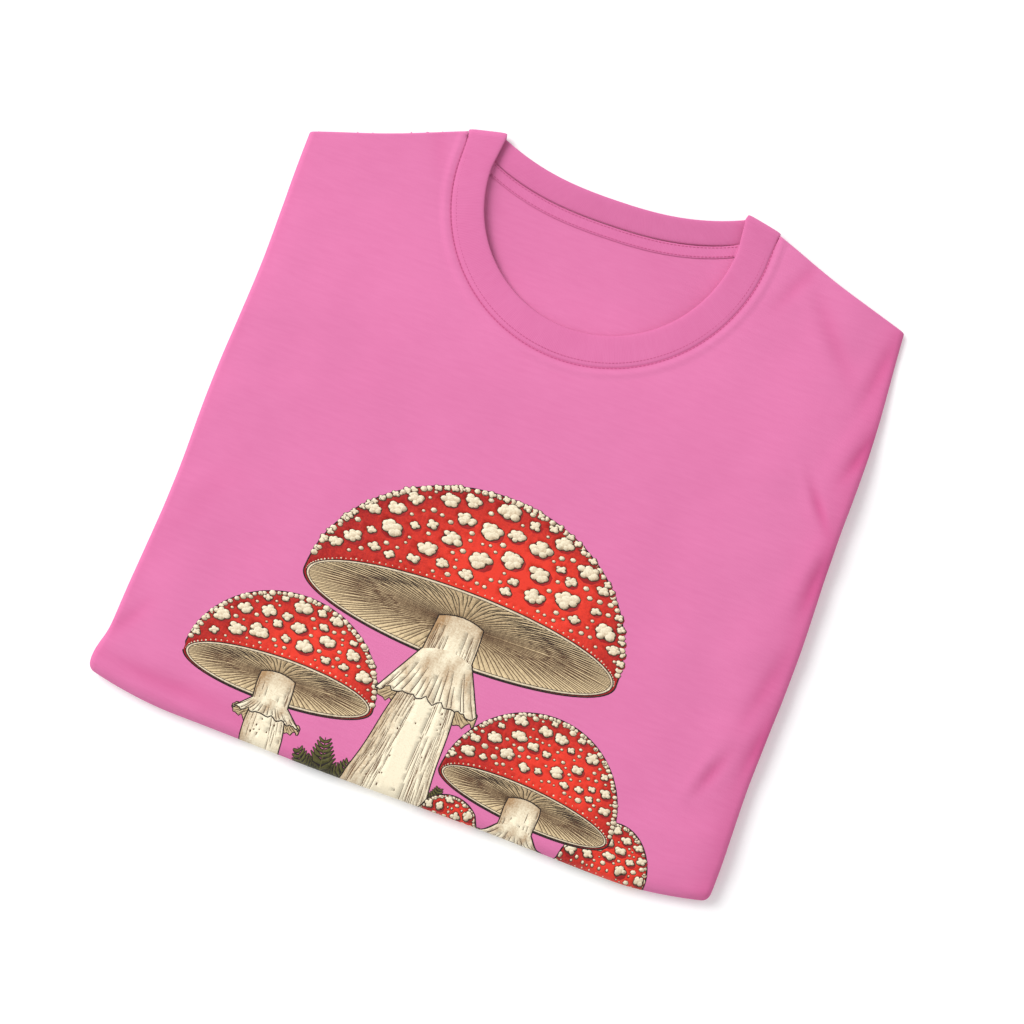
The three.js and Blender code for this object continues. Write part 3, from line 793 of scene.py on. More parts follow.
class Place:
    """Where a toadstool's own axes lie on the cloth."""

    def __init__(self, u, v, degrees=0.0):
        self.origin = np.array([u, v], float)
        c, s = math.cos(math.radians(degrees)), math.sin(math.radians(degrees))
        self.axes = np.array([[c, s], [-s, c]])

    def to_cloth(self, points):
        return points @ self.axes + self.origin

    def to_drawing(self, flat):
        return (flat - self.origin) @ self.axes.T


def signed_area(points):
    """Positive where the outline runs anticlockwise."""
    x, y = points.T
    return float(np.dot(x, np.roll(y, -1)) - np.dot(y, np.roll(x, -1))) / 2


def grown(points, width):
    """A closed outline, moved outwards by width."""
    points = np.asarray(points, float)
    along = np.roll(points, -1, axis=0) - np.roll(points, 1, axis=0)
    out = np.stack([along[:, 1], -along[:, 0]], axis=-1) * math.copysign(1, signed_area(points))
    return points + width * out / np.maximum(np.linalg.norm(out, axis=1), 1e-9)[:, None]


def disc(x, y, radius, sides, squash=1.0):
    """A round spot. squash is its height over its width."""
    turns = 2 * math.pi * np.arange(sides) / sides + 0.3
    return np.stack([x + radius * np.cos(turns), y + squash * radius * np.sin(turns)], axis=-1)


def oval(width, height, above=None, lift=0.0, sides=84):
    """An oval of half sizes width and height. above gives its upper half another height."""
    turns = 2 * math.pi * np.arange(sides) / sides
    rise = np.where(np.sin(turns) > 0, height if above is None else above, height)
    return np.stack([width * np.cos(turns), lift + rise * np.sin(turns)], axis=-1)


def stroke(line, widths):
    """A pen stroke along a line."""
    line = np.asarray(line, float)
    along = np.gradient(line, axis=0)
    normal = np.stack([-along[:, 1], along[:, 0]], axis=-1)
    normal /= np.linalg.norm(normal, axis=1)[:, None]
    reach = normal * np.asarray(widths)[:, None] / 2
    return np.concatenate([line + reach, (line - reach)[::-1]])


def outlined(drawing, place, points, ink, tone, width=OUTLINE):
    """A filled shape inside a dark line."""
    drawing.add(place, grown(points, width), "line ink", 0.1)
    drawing.add(place, points, ink, tone)


def cluster_outline(x, y, lobes, line, flatten, steps):
    """The outline round a cluster of lobes, line outside them, as seen from the cluster's centre."""
    points = []
    for turn in 2 * math.pi * np.arange(steps) / steps:
        c, s = math.cos(turn), math.sin(turn)
        reach = 0.5
        for cx, cy, radius in lobes:
            dx, dy = cx - x, (cy - y) / flatten
            ahead, aside = dx * c + dy * s, dx * s - dy * c
            if abs(aside) < radius + line:
                reach = max(reach, ahead + math.sqrt((radius + line) ** 2 - aside**2))
        points.append((x + reach * c + 0.15, y + flatten * reach * s - 0.2))
    return points


def draw_wart(drawing, place, x, y, size, flatten):
    """A lump of veil left on the cap: a cluster of round lobes, lit from the upper left."""
    chance = drawing.chance
    count, lobe_size, sides = 0, 1, 6
    if size > MIDDLE_WART:
        count, lobe_size, sides = 4, 0.5, 7
    if size > LARGE_WART:
        count, lobe_size, sides = 6, 0.44, 8
    lobe = size * lobe_size
    start = chance.uniform(0, 6.28)
    lobes = []
    for k in range(count):
        turn = start + 2 * math.pi * k / count + chance.uniform(-0.3, 0.3)
        reach = (size - lobe) * chance.uniform(0.85, 1.3)
        lobe_x = x + 1.12 * reach * math.cos(turn)
        lobe_y = y + flatten * reach * math.sin(turn)
        lobes.append((lobe_x, lobe_y, lobe * chance.uniform(0.72, 1.1)))
    lobes.append((x, y, lobe * (1.25 if count else 1)))
    lobes.sort(key=lambda spot: -spot[1])
    if count:
        drawing.add(place, disc(x + 0.9, y - 1.1, size * 1.12, 9, flatten), "red ink", 0.0)
        drawing.add(place, cluster_outline(x, y, lobes, 0.6, flatten, 4 * count), "line ink", 0.3)
    else:
        drawing.add(place, disc(x + 0.1, y - 0.2, size + 0.4, 6, flatten), "line ink", 0.4)
    for cx, cy, radius in lobes:

        def lobe_tone(px, py, cx=cx, cy=cy, radius=radius):
            return 0.66 + 0.42 * ((py - cy) * 0.8 - (px - cx) * 0.6) / radius

        drawing.add(place, disc(cx, cy, radius, sides, flatten), "cream ink", lobe_tone)


def draw_cap(drawing, place, width, top, gills, warts, largest):
    """A cap seen from a little below: the dome's outside above, and gills inside the oval of its rim."""
    chance = drawing.chance
    dome = math.sqrt(top**2 - gills**2)

    def red_tone(x, y):
        middle = bump(x, 0.22 * width, 0.62 * width) * bump(y, 0.42 * top, 0.42 * top)
        return 0.3 + 0.85 * middle - 0.2 * bump(np.hypot(x / width, y / top), 1, 0.1)

    outlined(drawing, place, oval(width, gills, top), "red ink", red_tone, 1.0)

    edge_warts = int(4.6 * width / largest)
    for step in range(edge_warts):
        turn = math.radians(5 + 170 * (step + chance.uniform(-0.3, 0.3)) / edge_warts)
        radius = largest * chance.uniform(0.24, 0.4)
        x, y = (width - 0.8) * math.cos(turn), (top - 0.8) * math.sin(turn)
        draw_wart(drawing, place, x, y, radius, 0.8)

    spots = []
    sizes = [largest * chance.uniform(0.7, 1.0) for _ in range(warts // 4)]
    sizes += [largest * chance.uniform(0.42, 0.62) for _ in range(warts // 3)]
    sizes += [largest * chance.uniform(0.12, 0.28) for _ in range(warts)]
    for size in sizes:
        for _ in range(60):
            side = math.asin(chance.uniform(-0.995, 0.995))
            rise = math.asin(chance.uniform(0.03, 0.99))
            facing = dome * math.cos(rise) * math.cos(side) - gills * math.sin(rise)
            x = width * math.cos(rise) * math.sin(side)
            y = dome * math.sin(rise) + gills * math.cos(rise) * math.cos(side)
            near_rim = y - gills * math.sqrt(max(0, 1 - (x / width) ** 2))
            near_edge = 1 - math.hypot(x / width, y / top)
            apart = all(
                math.hypot(x - ox, 1.25 * (y - oy)) > 1.05 * (size + other) + WART_GAP * largest
                for ox, oy, other in spots
            )
            if facing > 0 and near_rim > 1.3 * size + 3.4 and near_edge * top > 0.75 * size and apart:
                spots.append((x, y, size))
                break
    for x, y, size in sorted(spots, key=lambda spot: -spot[1]):
        draw_wart(drawing, place, x, y, size, 0.74)

    lip_width, lip_height = width - 1.9, gills - 0.7
    rim_dots = int(width / 1.7)
    for step in range(rim_dots):
        turn = math.pi * (step + 0.5) / rim_dots
        beyond = 2.6 + chance.uniform(-0.3, 0.5)
        x, y = (lip_width + beyond * 0.2) * math.cos(turn), (lip_height + beyond) * math.sin(turn)
        drawing.add(place, disc(x, y, chance.uniform(0.35, 0.75), 5), "cream ink", 0.75)
    outlined(drawing, place, oval(lip_width, lip_height), "cream ink", 0.6, 0.7)
    lip = min(1.7, 0.1 * gills)
    inner_width, inner_height = lip_width - lip, lip_height - lip
    outlined(drawing, place, oval(inner_width, inner_height), "gill ink", gill_tone(width, gills), 0.4)
    draw_gills(drawing, place, inner_width, inner_height, int(width * 1.35))


def gill_tone(width, height):
    """The tone of the gills: darker round the stem and under the far rim."""

    def tone(x, y):
        out = np.hypot(x / width, y / height)
        return 0.22 + 0.78 * out - 0.35 * bump(y, height, 0.6 * height) * bump(x, 0, 0.5 * width)

    return tone


def draw_gills(drawing, place, width, height, count):
    """Gills as pen strokes from the rim towards the stem. Every other one stops short."""
    for k in range(count):
        turn = 2 * math.pi * (k + drawing.chance.uniform(-0.2, 0.2)) / count
        reach = 0.86 if k % 2 else drawing.chance.uniform(0.4, 0.6)
        inward = np.array([0.0, 0.45, 1.0]) * reach
        x = width * math.cos(turn) * (1 - inward)
        y = height * math.sin(turn) * (1 - inward) + 0.2 * height * np.sin(np.pi * inward)
        dark = 0.55 - 0.5 * max(0, math.sin(turn))
        drawing.add(place, stroke(np.stack([x, y], axis=-1), (0.38, 0.6, 0.25)), "gill line ink", dark)


def draw_stem(drawing, place, head, foot, lean, length, head_y):
    """A stem from under the cap down to its foot. head and foot are half widths."""
    chance = drawing.chance

    def middle(y):
        return lean * ((head_y - y) / length) ** 1.4

    def half(y):
        t = np.clip((head_y - y) / length, 0, 1)
        return head + (foot - head) * t**1.5 + 0.5 * np.sin(t * 17)

    down = head_y - length * np.linspace(0, 1, 22)
    left = np.stack([middle(down) - half(down), down], axis=-1)
    right = np.stack([middle(down) + half(down), down], axis=-1)
    crown = [(t * head, head_y + 0.22 * head * (1 - t * t)) for t in (0.7, 0.35, 0, -0.35, -0.7)]

    def stem_tone(x, y):
        side = (x - middle(np.minimum(y, head_y))) / half(y)
        under_cap = bump(y, head_y + 2, 0.3 * length**0.75 + 3)
        shaded_side = 0.16 * (side < -0.45)
        return np.clip(1.0 - 0.42 * np.abs(side - 0.1) ** 2.5 - 0.5 * under_cap - shaded_side, 0, 1)

    outlined(drawing, place, np.concatenate([left, right[::-1], crown]), "cream ink", stem_tone, 0.8)
    for _ in range(int(length * foot / 24)):
        across = chance.choice((-1, 1)) * chance.uniform(0.15, 0.93) ** 0.7
        first = chance.uniform(0.02, 0.93)
        last = min(0.99, first + chance.uniform(0.03, 0.16))
        y = head_y - length * np.linspace(first, last, 3)
        line = np.stack([middle(y) + across * half(y), y], axis=-1)
        widths = (0.12, chance.uniform(0.25, 0.55), 0.12)
        drawing.add(place, stroke(line, widths), "line ink", chance.uniform(0.55, 1.0))
    for _ in range(int(foot * 1.2)):
        y = head_y - length * chance.uniform(0.25, 0.95)
        x = middle(y) + chance.uniform(-0.7, 0.7) * half(y)
        drawing.add(place, disc(x, y, chance.uniform(0.25, 0.65), 6, 1.6), "line ink", 0.7)
    return middle, half


def ragged(x, chance, depth, teeth):
    """A torn, wavy edge along x."""
    phase = chance.uniform(0, 6)
    large = np.abs(np.sin(teeth * x + phase))
    middling = 0.35 * np.sin(2.7 * teeth * x + phase)
    small = 0.2 * np.sin(6.1 * teeth * x)
    return depth * (large + middling + small)


def draw_skirt(drawing, place, middle, half, top, drop, spread):
    """The torn ring round a stem: its far side, inside out, and its pleated near side over the stem.

    Returns one function that draws the far side and one that draws the near side.
    """
    chance = drawing.chance
    centre = float(middle(top - drop))
    ring = spread * float(half(top - drop))
    rim_y = top - drop
    turns = np.linspace(0, math.pi, 40)
    near_x = centre + ring * np.cos(turns)
    near_y = rim_y + 0.1 * ring * np.sin(turns) - ragged(near_x, chance, 0.07 * ring, 9 / ring)
    far_x = near_x[::-1]
    far_y = rim_y - 0.2 * ring * np.sin(turns) - ragged(far_x, chance, 0.09 * ring, 12 / ring)
    inside = np.stack([np.concatenate([near_x, far_x]), np.concatenate([near_y + 2, far_y])], axis=-1)
    stem_x, stem_half = float(middle(top)), float(half(top))
    attach = np.array([(stem_x + s * stem_half * 1.02, top) for s in (-1, -0.5, 0, 0.5, 1)])
    attach[:, 1] += 0.12 * ring * (1 - np.linspace(-1, 1, 5) ** 2)
    near = np.concatenate([np.stack([near_x, near_y], axis=-1), attach])

    def near_tone(x, y):
        pleat = np.sin((x - centre) / ring * 15 + 2 * np.sin(y / 7))
        return 0.8 + 0.26 * pleat - 0.25 * bump(y, top - 0.3 * drop, 0.25 * drop)

    def draw_inside():
        outlined(drawing, place, inside, "gill ink", 0.62, 0.7)
        for k in range(FAR_PLEATS):
            x = centre + ring * (2 * (k + 0.5) / FAR_PLEATS - 1)
            edge = float(np.interp(x, far_x, far_y))
            line = [
                (x, edge + 0.4),
                (0.9 * x + 0.1 * centre, 0.5 * (edge + rim_y)),
                (0.8 * x + 0.2 * centre, rim_y),
            ]
            drawing.add(place, stroke(line, (0.2, 0.5, 0.2)), "line ink", 0.4)

    def draw_near():
        hem = np.concatenate([attach[-1:], np.stack([near_x, near_y], axis=-1), attach[:1]])
        drawing.add(place, stroke(hem, [1.7] * len(hem)), "line ink", 0.1)
        drawing.add(place, near, "cream ink", near_tone)
        for k in range(NEAR_PLEATS):
            t = (k + chance.uniform(0.2, 0.8)) / NEAR_PLEATS * 2 - 1
            low_x = centre + 0.97 * ring * t
            low_y = float(np.interp(low_x, near_x[::-1], near_y[::-1])) + 0.6
            run, climb = stem_x + stem_half * t - low_x, top - low_y
            reach = chance.uniform(0.35, 0.85)
            line = [
                (low_x, low_y),
                (low_x + run * 0.5 * reach, low_y + climb * 0.42 * reach),
                (low_x + run * reach, low_y + climb * reach),
            ]
            drawing.add(place, stroke(line, (0.55, 0.45, 0.1)), "line ink", 0.45)

    return draw_inside, draw_near


def draw_leaf(drawing, u, v, degrees, length):
    """A small fern leaf that grows along degrees."""
    place = Place(u, v, degrees - 90)
    shoot = [(0, 0), (0.4, length / 2), (0, length)]
    drawing.add(place, stroke(shoot, (1.9, 1.6, 0.5)), "line ink", 0.1)
    for k in range(LEAFLET_PAIRS):
        t = 0.12 + 0.11 * k
        reach = 0.42 * length * (1 - 0.75 * t)
        for hand in (-1, 1):
            tip = (hand * reach, length * t + 0.75 * reach)
            bend = (hand * 0.55 * reach, length * t + 0.22 * reach)
            leaflet = [(0, length * t), bend, tip]
            width = 0.26 * reach + 0.5
            drawing.add(place, stroke(leaflet, (width * 0.7 + 0.9, width + 1.1, 0.9)), "line ink", 0.05)
            drawing.add(place, stroke(leaflet, (width * 0.6, width, 0.2)), "leaf ink", 0.35 + 0.08 * k)
    vein = [(0, 0), (0.4, length / 2), (0, length - 0.6)]
    drawing.add(place, stroke(vein, (0.8, 0.6, 0.2)), "leaf ink", 0.9)


def draw_toadstool(drawing, u, v, degrees, width, top, gills, warts, largest, stem=None, skirt=None):
    """A whole toadstool. Where they show, stem is (head, foot, lean, length), skirt (top, drop, spread)."""
    place = Place(u, v, degrees)
    draw_cap(drawing, place, width, top, gills, warts, largest)
    if stem:
        upright = Place(u, v)
        before = len(drawing.outlines)
        middle, half = draw_stem(drawing, upright, *stem, head_y=0.12 * gills)
        if skirt:
            # The stem lies between the two sides of its ring.
            stem_shapes = drawing.take_off(before)
            draw_inside, draw_near = draw_skirt(drawing, upright, middle, half, *skirt)
            draw_inside()
            drawing.lay_on(stem_shapes)
            draw_near()


# Fern leaves: u and v of the foot, the way each grows in degrees, and its length.
LEAVES = (
    (-52, -6, 100, 30),
    (-58, -8, 128, 24),
    (-44, -8, 70, 24),
    (26, 0, 84, 19),
    (34, -2, 52, 18),
    (18, -4, 112, 18),
    (-132, -22, 110, 17),
    (118, -24, 60, 15),
    (-128, -22, 70, 14),
)
# Toadstools from the back to the front: u, v and tilt of the cap, its half width, its height and that of its
# gills, the number and the largest size of its warts, and the stem and the stem's ring where they show.
TOADSTOOLS = (
    (150, -7, -6, 32, 45, 9, 56, 4.2),
    (-102, 49, 1.5, 68, 60, 16, 52, 6.6, (12, 17, 8, 84), (-17, 10, 1.9)),
    (2, 126, -1, 113.5, 94, 25, 84, 8.2, (16, 36, -14, 159), (-22, 34, 1.75)),
    (86, 27, -4, 63, 63, 13.5, 62, 5.4, (11.5, 17, -2, 63), (-18, 8, 1.8)),
    (40, -8, 0, 23, 24, 5, 24, 3.6),
)


def draw_group():
    """One large toadstool with smaller ones round its foot. The lowest parts go under the bottom fold."""
    drawing = Drawing(seed=11)
    for leaf in LEAVES:
        draw_leaf(drawing, *leaf)
    for toadstool in TOADSTOOLS:
        draw_toadstool(drawing, *toadstool)
    ground = Place(0, -34)
    x = np.linspace(-150, 168, 90)
    top_edge = 5 * np.sin(x / 23) + 3 * np.abs(np.sin(x / 6)) + 6 * bump(x, -10, 60)
    low_edge = -9 + 3 * np.sin(x[::-1] / 31 + 2)
    soil = np.stack([np.concatenate([x, x[::-1]]), np.concatenate([top_edge, low_edge])], axis=-1)
    outlined(drawing, ground, soil, "leaf ink", lambda px, py: np.clip(0.5 + 0.05 * py, 0, 1))
    return drawing


def ink_material(name, dark, light):
    """Screen-printed ink: it sinks into the knit, and its shading is broken up into fine dots."""
    material, w = new_material(name)
    cloth = w.node("ShaderNodeUVMap", uv_map="cloth").outputs[0]
    tone = w.node("ShaderNodeAttribute", attribute_name="tone").outputs["Fac"]
    dots = w.noise(cloth, 780.0, 2.0, 0.7)
    grain = w.noise(w.scaled(cloth, (1, 0.35, 1)), 420.0, 3.0)
    broken = w.math("ADD", w.math("MULTIPLY", dots, 0.6), w.math("MULTIPLY", grain, 0.4))
    spread = w.math("MULTIPLY_ADD", w.math("SUBTRACT", broken, 0.5), 1.5, tone)
    colour = w.mix(w.remap(spread, 0.05, 0.95, 0.0, 1.0), dark, light)
    knit = w.node("ShaderNodeGroup", node_tree=knit_group)
    w.tree.links.new(cloth, knit.inputs["Cloth"])
    roughness = w.remap(knit.outputs["Height"], 0.0, 1.0, 0.72, 0.58)
    principled(w, colour, roughness, bumped(w, knit.outputs["Height"], 0.00008))
    return material


def make_print():
    """The print as one film for each ink, the way that screens lay it down."""
    drawing = draw_group()
    columns = PANEL_COLUMNS[(PANEL_COLUMNS > -182) & (PANEL_COLUMNS < 184)]
    rows = PANEL_ROWS[(PANEL_ROWS > -50) & (PANEL_ROWS < 228)]
    points, faces, owners = cut(drawing.outlines, columns, rows)
    faces = np.array(faces)
    corners = points[faces]
    tones = np.zeros((len(faces), 3))
    for owner in np.unique(owners):
        mine = owners == owner
        tones[mine] = np.clip(drawing.tones[owner](corners[mine].reshape(-1, 2)), 0, 1).reshape(-1, 3)
    inks = np.array(drawing.inks)[owners]
    for number, name in enumerate(INK_NAMES):
        mine = inks == number
        make_film(name, points, faces[mine], tones[mine])


def make_film(name, points, faces, tones):
    """A film of one ink on the front, from its flat triangles and the tone of each of their corners."""
    used, faces = np.unique(faces, return_inverse=True)
    points, faces = points[used], faces.reshape(-1, 3).tolist()
    top = FRONT_LEVEL + JERSEY / 2
    upper = front_point(*points.T, top + INK)
    lower = front_point(*points.T, top + INK / 4)
    vertices, all_faces = closed_sheet(points, faces, upper, lower)
    flat = np.concatenate([points, points])
    film = new_piece("print_" + name.replace(" ", "_"), vertices, all_faces, flat)
    film.data.materials.append(ink_material(name, *INKS[name]))
    layer = film.data.attributes.new("tone", "FLOAT", "CORNER")
    values = np.full(len(film.data.loops), RIM_TONE, dtype=np.float32)
    values[: tones.size] = tones.ravel()
    values[tones.size : 2 * tones.size] = tones[:, ::-1].ravel()
    layer.data.foreach_set("value", values)
    finish_piece(film, "print_ink", "front_print")


make_print()


# ---- Sleeves ---------------------------------------------------------------------------------------------
SLEEVE_LENGTH = 208
CUFF_WIDTH = 174
SLEEVE_SLOPE = math.radians(28)
SLEEVE_LOW, SLEEVE_HIGH = 1.2, 2.9  # levels of its two plies
SLEEVE_FOLD_START, SLEEVE_FOLD_SHARE = 0.49, 0.02  # where round the sleeve its fold lies
SLEEVE_HEM_STEP = 0.3
SLEEVE_FLARE = 1.1  # mean width of the sleeve over the width of its cuff
SLEEVE_TOP_V = SHOULDER_V - 5
SLEEVE_SEAM_V = UNDERARM_V + 2
CUFF_TOP_U = SHOULDER_U - 16


def sleeve_plan(along, across):
    """A sleeve from above: along from the armhole (0) to the cuff (1), across from the fold to the seam."""
    v = SLEEVE_TOP_V + (SLEEVE_SEAM_V - SLEEVE_TOP_V) * across
    edge = armhole_reach(np.clip((v - UNDERARM_V) / (SHOULDER_V - UNDERARM_V), 0, 1))
    armhole_x = 2 * fold_start(v) + SIDE_ARC - edge - 0.6
    c, s = math.cos(SLEEVE_SLOPE), math.sin(SLEEVE_SLOPE)
    cuff_x = CUFF_TOP_U - SLEEVE_LENGTH * c + across * CUFF_WIDTH * s
    cuff_v = SLEEVE_TOP_V - SLEEVE_LENGTH * s - across * CUFF_WIDTH * c
    return armhole_x + (cuff_x - armhole_x) * along, v + (cuff_v - v) * along


def sleeve_point(hand, along, around, offset):
    """around is 0 at the seam, runs along the lower ply to the fold at 0.5, and back along the upper ply."""
    middle = (SLEEVE_LOW + SLEEVE_HIGH) / 2
    radius = (SLEEVE_HIGH - SLEEVE_LOW) / 2
    across = np.clip(np.abs(around - 0.5) * 2 - SLEEVE_FOLD_SHARE, 0, 1) / (1 - SLEEVE_FOLD_SHARE)
    turn = np.clip((around - SLEEVE_FOLD_START) / SLEEVE_FOLD_SHARE, 0, 1) * math.pi
    x, v = sleeve_plan(along, across)
    reach = radius + offset
    level = middle - reach * np.cos(turn)
    v = v + reach * np.sin(turn)
    sag = BASE * ease(FLAP_END_V, SUNK_V, v)
    x, y, z = settle(hand * x, v, BASE + level - sag)
    return np.stack([x, y - FOLDED_LENGTH / 2, np.maximum(z, FLOOR_AIR)], axis=-1) * MM


def make_sleeve(side, hand):
    """A sleeve, folded behind the stack with its two plies together."""
    along_stops = stops((0, 0.86, 0.03), (0.86, 0.94, 0.008), (0.94, 1, 0.02))
    around_stops = stops((0, 0.49, 0.016), (0.49, 0.51, 0.0025), (0.51, 1, 0.016))
    along, around = (a.ravel() for a in np.meshgrid(along_stops, around_stops, indexing="ij"))
    hem = SLEEVE_HEM_STEP * ease(0.885, 0.9, along)
    outer = sleeve_point(hand, along, around, JERSEY / 2 + hem)
    inner = sleeve_point(hand, along, around, -JERSEY / 2)
    faces = [list(f) for f in grid_faces(len(along_stops), len(around_stops))]
    if hand < 0:
        faces = [face[::-1] for face in faces]
    flat = np.stack([around * 2 * CUFF_WIDTH * SLEEVE_FLARE, along * SLEEVE_LENGTH], axis=-1)
    vertices, all_faces = closed_sheet(flat, faces, outer, inner)
    sleeve = new_piece(f"{side}_sleeve_cloth", vertices, all_faces, np.concatenate([flat, flat]))
    sleeve.data.materials.append(jersey)
    return sleeve


sleeves = {side: make_sleeve(side, hand) for side, hand in (("left", 1), ("right", -1))}


# ---- Collar and neck tape --------------------------------------------------------------------------------
BACK_RIB_Z = 2.9  # level of the rib over the back neck seam
BACK_FREE_Z = 7.4  # level of the back rib's free edge
NECK_POINT_LIFT = 2.4  # how far the rib's free edge stands up at a neck point
SIDE_LIFT_SHARE = 0.55  # of that lift, where the half circle of the front ends
SEAM_EDGE = SEAM_RADIUS + 0.6  # the rib's edge lies just under the edge of the body
NECK_POINT_FREE = (FREE_RADIUS - 2.4, FOLDED_LENGTH - 3)  # u and v of the rib's free edge
NECK_POINT_SEAM = (NECK_POINT_U - 0.6, NECK_POINT_V - 1)
BAND_STEPS = 11  # across a band
TAPE_HALF_LENGTH = 90
TAPE_HEIGHT, TAPE_THICKNESS = 0.5, 0.9


def band_mesh(name, seam, free, thickness, closed, material):
    """A rounded band between two rows of points. Its outside faces the way that across x along points."""
    along = np.roll(seam, -1, 0) - np.roll(seam, 1, 0)
    if not closed:
        along[0], along[-1] = seam[1] - seam[0], seam[-1] - seam[-2]
    across = free - seam
    out = np.cross(across, along)
    out /= np.linalg.norm(out, axis=1)[:, None]
    middle_steps = np.linalg.norm(np.diff((seam + free) / 2, axis=0), axis=1)
    lengths = np.concatenate([[0], np.cumsum(middle_steps)]) / MM
    width = float(np.linalg.norm(across, axis=1).mean()) / MM
    shares = (1 - np.cos(np.pi * np.arange(BAND_STEPS + 1) / BAND_STEPS)) / 2
    section = [(t, 1) for t in shares] + [(t, -1) for t in shares[-2:0:-1]]
    vertices, flat = [], []
    for k in range(len(seam)):
        for t, side in section:
            half = thickness / 2 * (1 - abs(2 * t - 1) ** 5) ** 0.4
            vertices.append(seam[k] + across[k] * t + out[k] * side * half * MM)
            flat.append((lengths[k], width * t))
    count = len(section)
    faces = grid_faces(len(seam), count, closed_columns=closed, closed_rows=True)
    if not closed:
        faces.append(tuple(range(count))[::-1])
        faces.append(tuple((len(seam) - 1) * count + k for k in range(count)))
    band = new_piece(name, vertices, [tuple(reversed(f)) for f in faces], flat)
    if closed:
        around = lengths[-1] * MM + float(np.linalg.norm(seam[0] + free[0] - seam[-1] - free[-1])) / 2
        for face in band.data.polygons[-count:]:
            for corner in face.loop_indices:
                if band.data.loops[corner].vertex_index < count:
                    band.data.uv_layers["cloth"].data[corner].uv.x = around
    band.data.materials.append(material)
    return band


def neck_point_rows(hand):
    """The rib over a neck point, from the front down to the back. Each row is as in collar_rows()."""
    free = np.array([hand * NECK_POINT_FREE[0], NECK_POINT_FREE[1]])
    seam = np.array([hand * NECK_POINT_SEAM[0], NECK_POINT_SEAM[1]])
    line = (seam - free) / np.linalg.norm(seam - free)
    outwards = np.array([-line[1], line[0]]) * hand
    front_level = RIB_LEVEL + NECK_POINT_LIFT
    radius = (front_level - BACK_RIB_Z) / 2
    rows = []
    for k in range(13):
        turn = math.pi * k / 12
        shift = outwards * radius * math.sin(turn)
        level = BACK_RIB_Z + radius * (1 + math.cos(turn))
        above_back = (level - BACK_RIB_Z) * (RIB_LEVEL - BACK_RIB_Z) / (front_level - BACK_RIB_Z)
        rows.append((*(seam + shift), BACK_RIB_Z + above_back, *(free + shift), level))
    return rows


def straight_rows(hand):
    """The rib from the end of the neck's half circle up to a neck point."""
    rows = []
    for t in (0.2, 0.4, 0.6, 0.8):
        seam_u = SEAM_EDGE + (NECK_POINT_SEAM[0] - SEAM_EDGE) * t
        seam_v = NECK_V + (NECK_POINT_SEAM[1] - NECK_V) * t
        free_u = FREE_RADIUS + (NECK_POINT_FREE[0] - FREE_RADIUS) * t
        free_v = NECK_V + (NECK_POINT_FREE[1] - NECK_V) * t
        free_level = RIB_LEVEL + NECK_POINT_LIFT * (SIDE_LIFT_SHARE + (1 - SIDE_LIFT_SHARE) * t)
        rows.append((hand * seam_u, seam_v, RIB_LEVEL, hand * free_u, free_v, free_level))
    return rows


def collar_rows():
    """Rows once round the collar, each with u, v and level of its seam and then of its free edge."""
    rows = []
    for k in range(121):
        turn = math.pi * k / 120
        c, s = math.cos(turn), math.sin(turn)
        free_level = RIB_LEVEL + SIDE_LIFT_SHARE * NECK_POINT_LIFT * abs(c) ** 3
        seam = (SEAM_EDGE * c, NECK_V - SEAM_EDGE * s, RIB_LEVEL)
        rows.append((*seam, FREE_RADIUS * c, NECK_V - FREE_RADIUS * s, free_level))
    rows += straight_rows(-1)
    rows += neck_point_rows(-1)
    for k in range(1, 60):
        t = k / 30 - 1
        free_v = BACK_FREE_V + (NECK_POINT_FREE[1] - BACK_FREE_V) * abs(t) ** 2.5
        free_z = BACK_FREE_Z + (BACK_RIB_Z - BACK_FREE_Z) * abs(t) ** 2.6
        seam_v = BACK_SEAM_V + (NECK_POINT_SEAM[1] - BACK_SEAM_V) * abs(t) ** 2.5
        rows.append((NECK_POINT_SEAM[0] * t, seam_v, BACK_RIB_Z, NECK_POINT_FREE[0] * t, free_v, free_z))
    rows += neck_point_rows(1)[::-1]
    rows += straight_rows(1)[::-1]
    return np.array(rows)


collar_path = collar_rows()
collar_seam = surface(*collar_path[:, :3].T)
collar_free = surface(*collar_path[:, 3:].T)
collar = band_mesh("collar_band", collar_seam, collar_free, RIB_THICKNESS, True, rib_knit)


def tape_point(u, drop, height):
    """A point drop below the back neck seam and height above the cloth of the back."""
    v = back_seam_v(u) - 0.6 - drop
    return surface(u, v, BACK_LEVEL + JERSEY / 2 + height, dip=neck_dip(u, v))


tape_u = np.linspace(-TAPE_HALF_LENGTH, TAPE_HALF_LENGTH, 73)
tape_low = tape_point(tape_u, TAPE_WIDTH, TAPE_HEIGHT)[::-1]
tape_high = tape_point(tape_u, 0, TAPE_HEIGHT)[::-1]
tape = band_mesh("neck_tape_cloth", tape_low, tape_high, TAPE_THICKNESS, False, rib_knit)


# ---- Stitching -------------------------------------------------------------------------------------------
STITCH_PITCH = 2.6
STITCH_SHARE = 0.8  # of the pitch that a stitch fills
SEAM_INSET = 2  # from a cut edge to its seam
CUFF_ROWS = ((0.895, 0.28), (0.922, 0.42))  # place along the sleeve, and height above the cloth
TAPE_ROW_INSET = 1.2
TAPE_THREAD_HEIGHT = 0.98
HEM_ROW_DROPS = (1.5, 7)  # from the top of the hem
HEM_THREAD_HEIGHT = 0.45


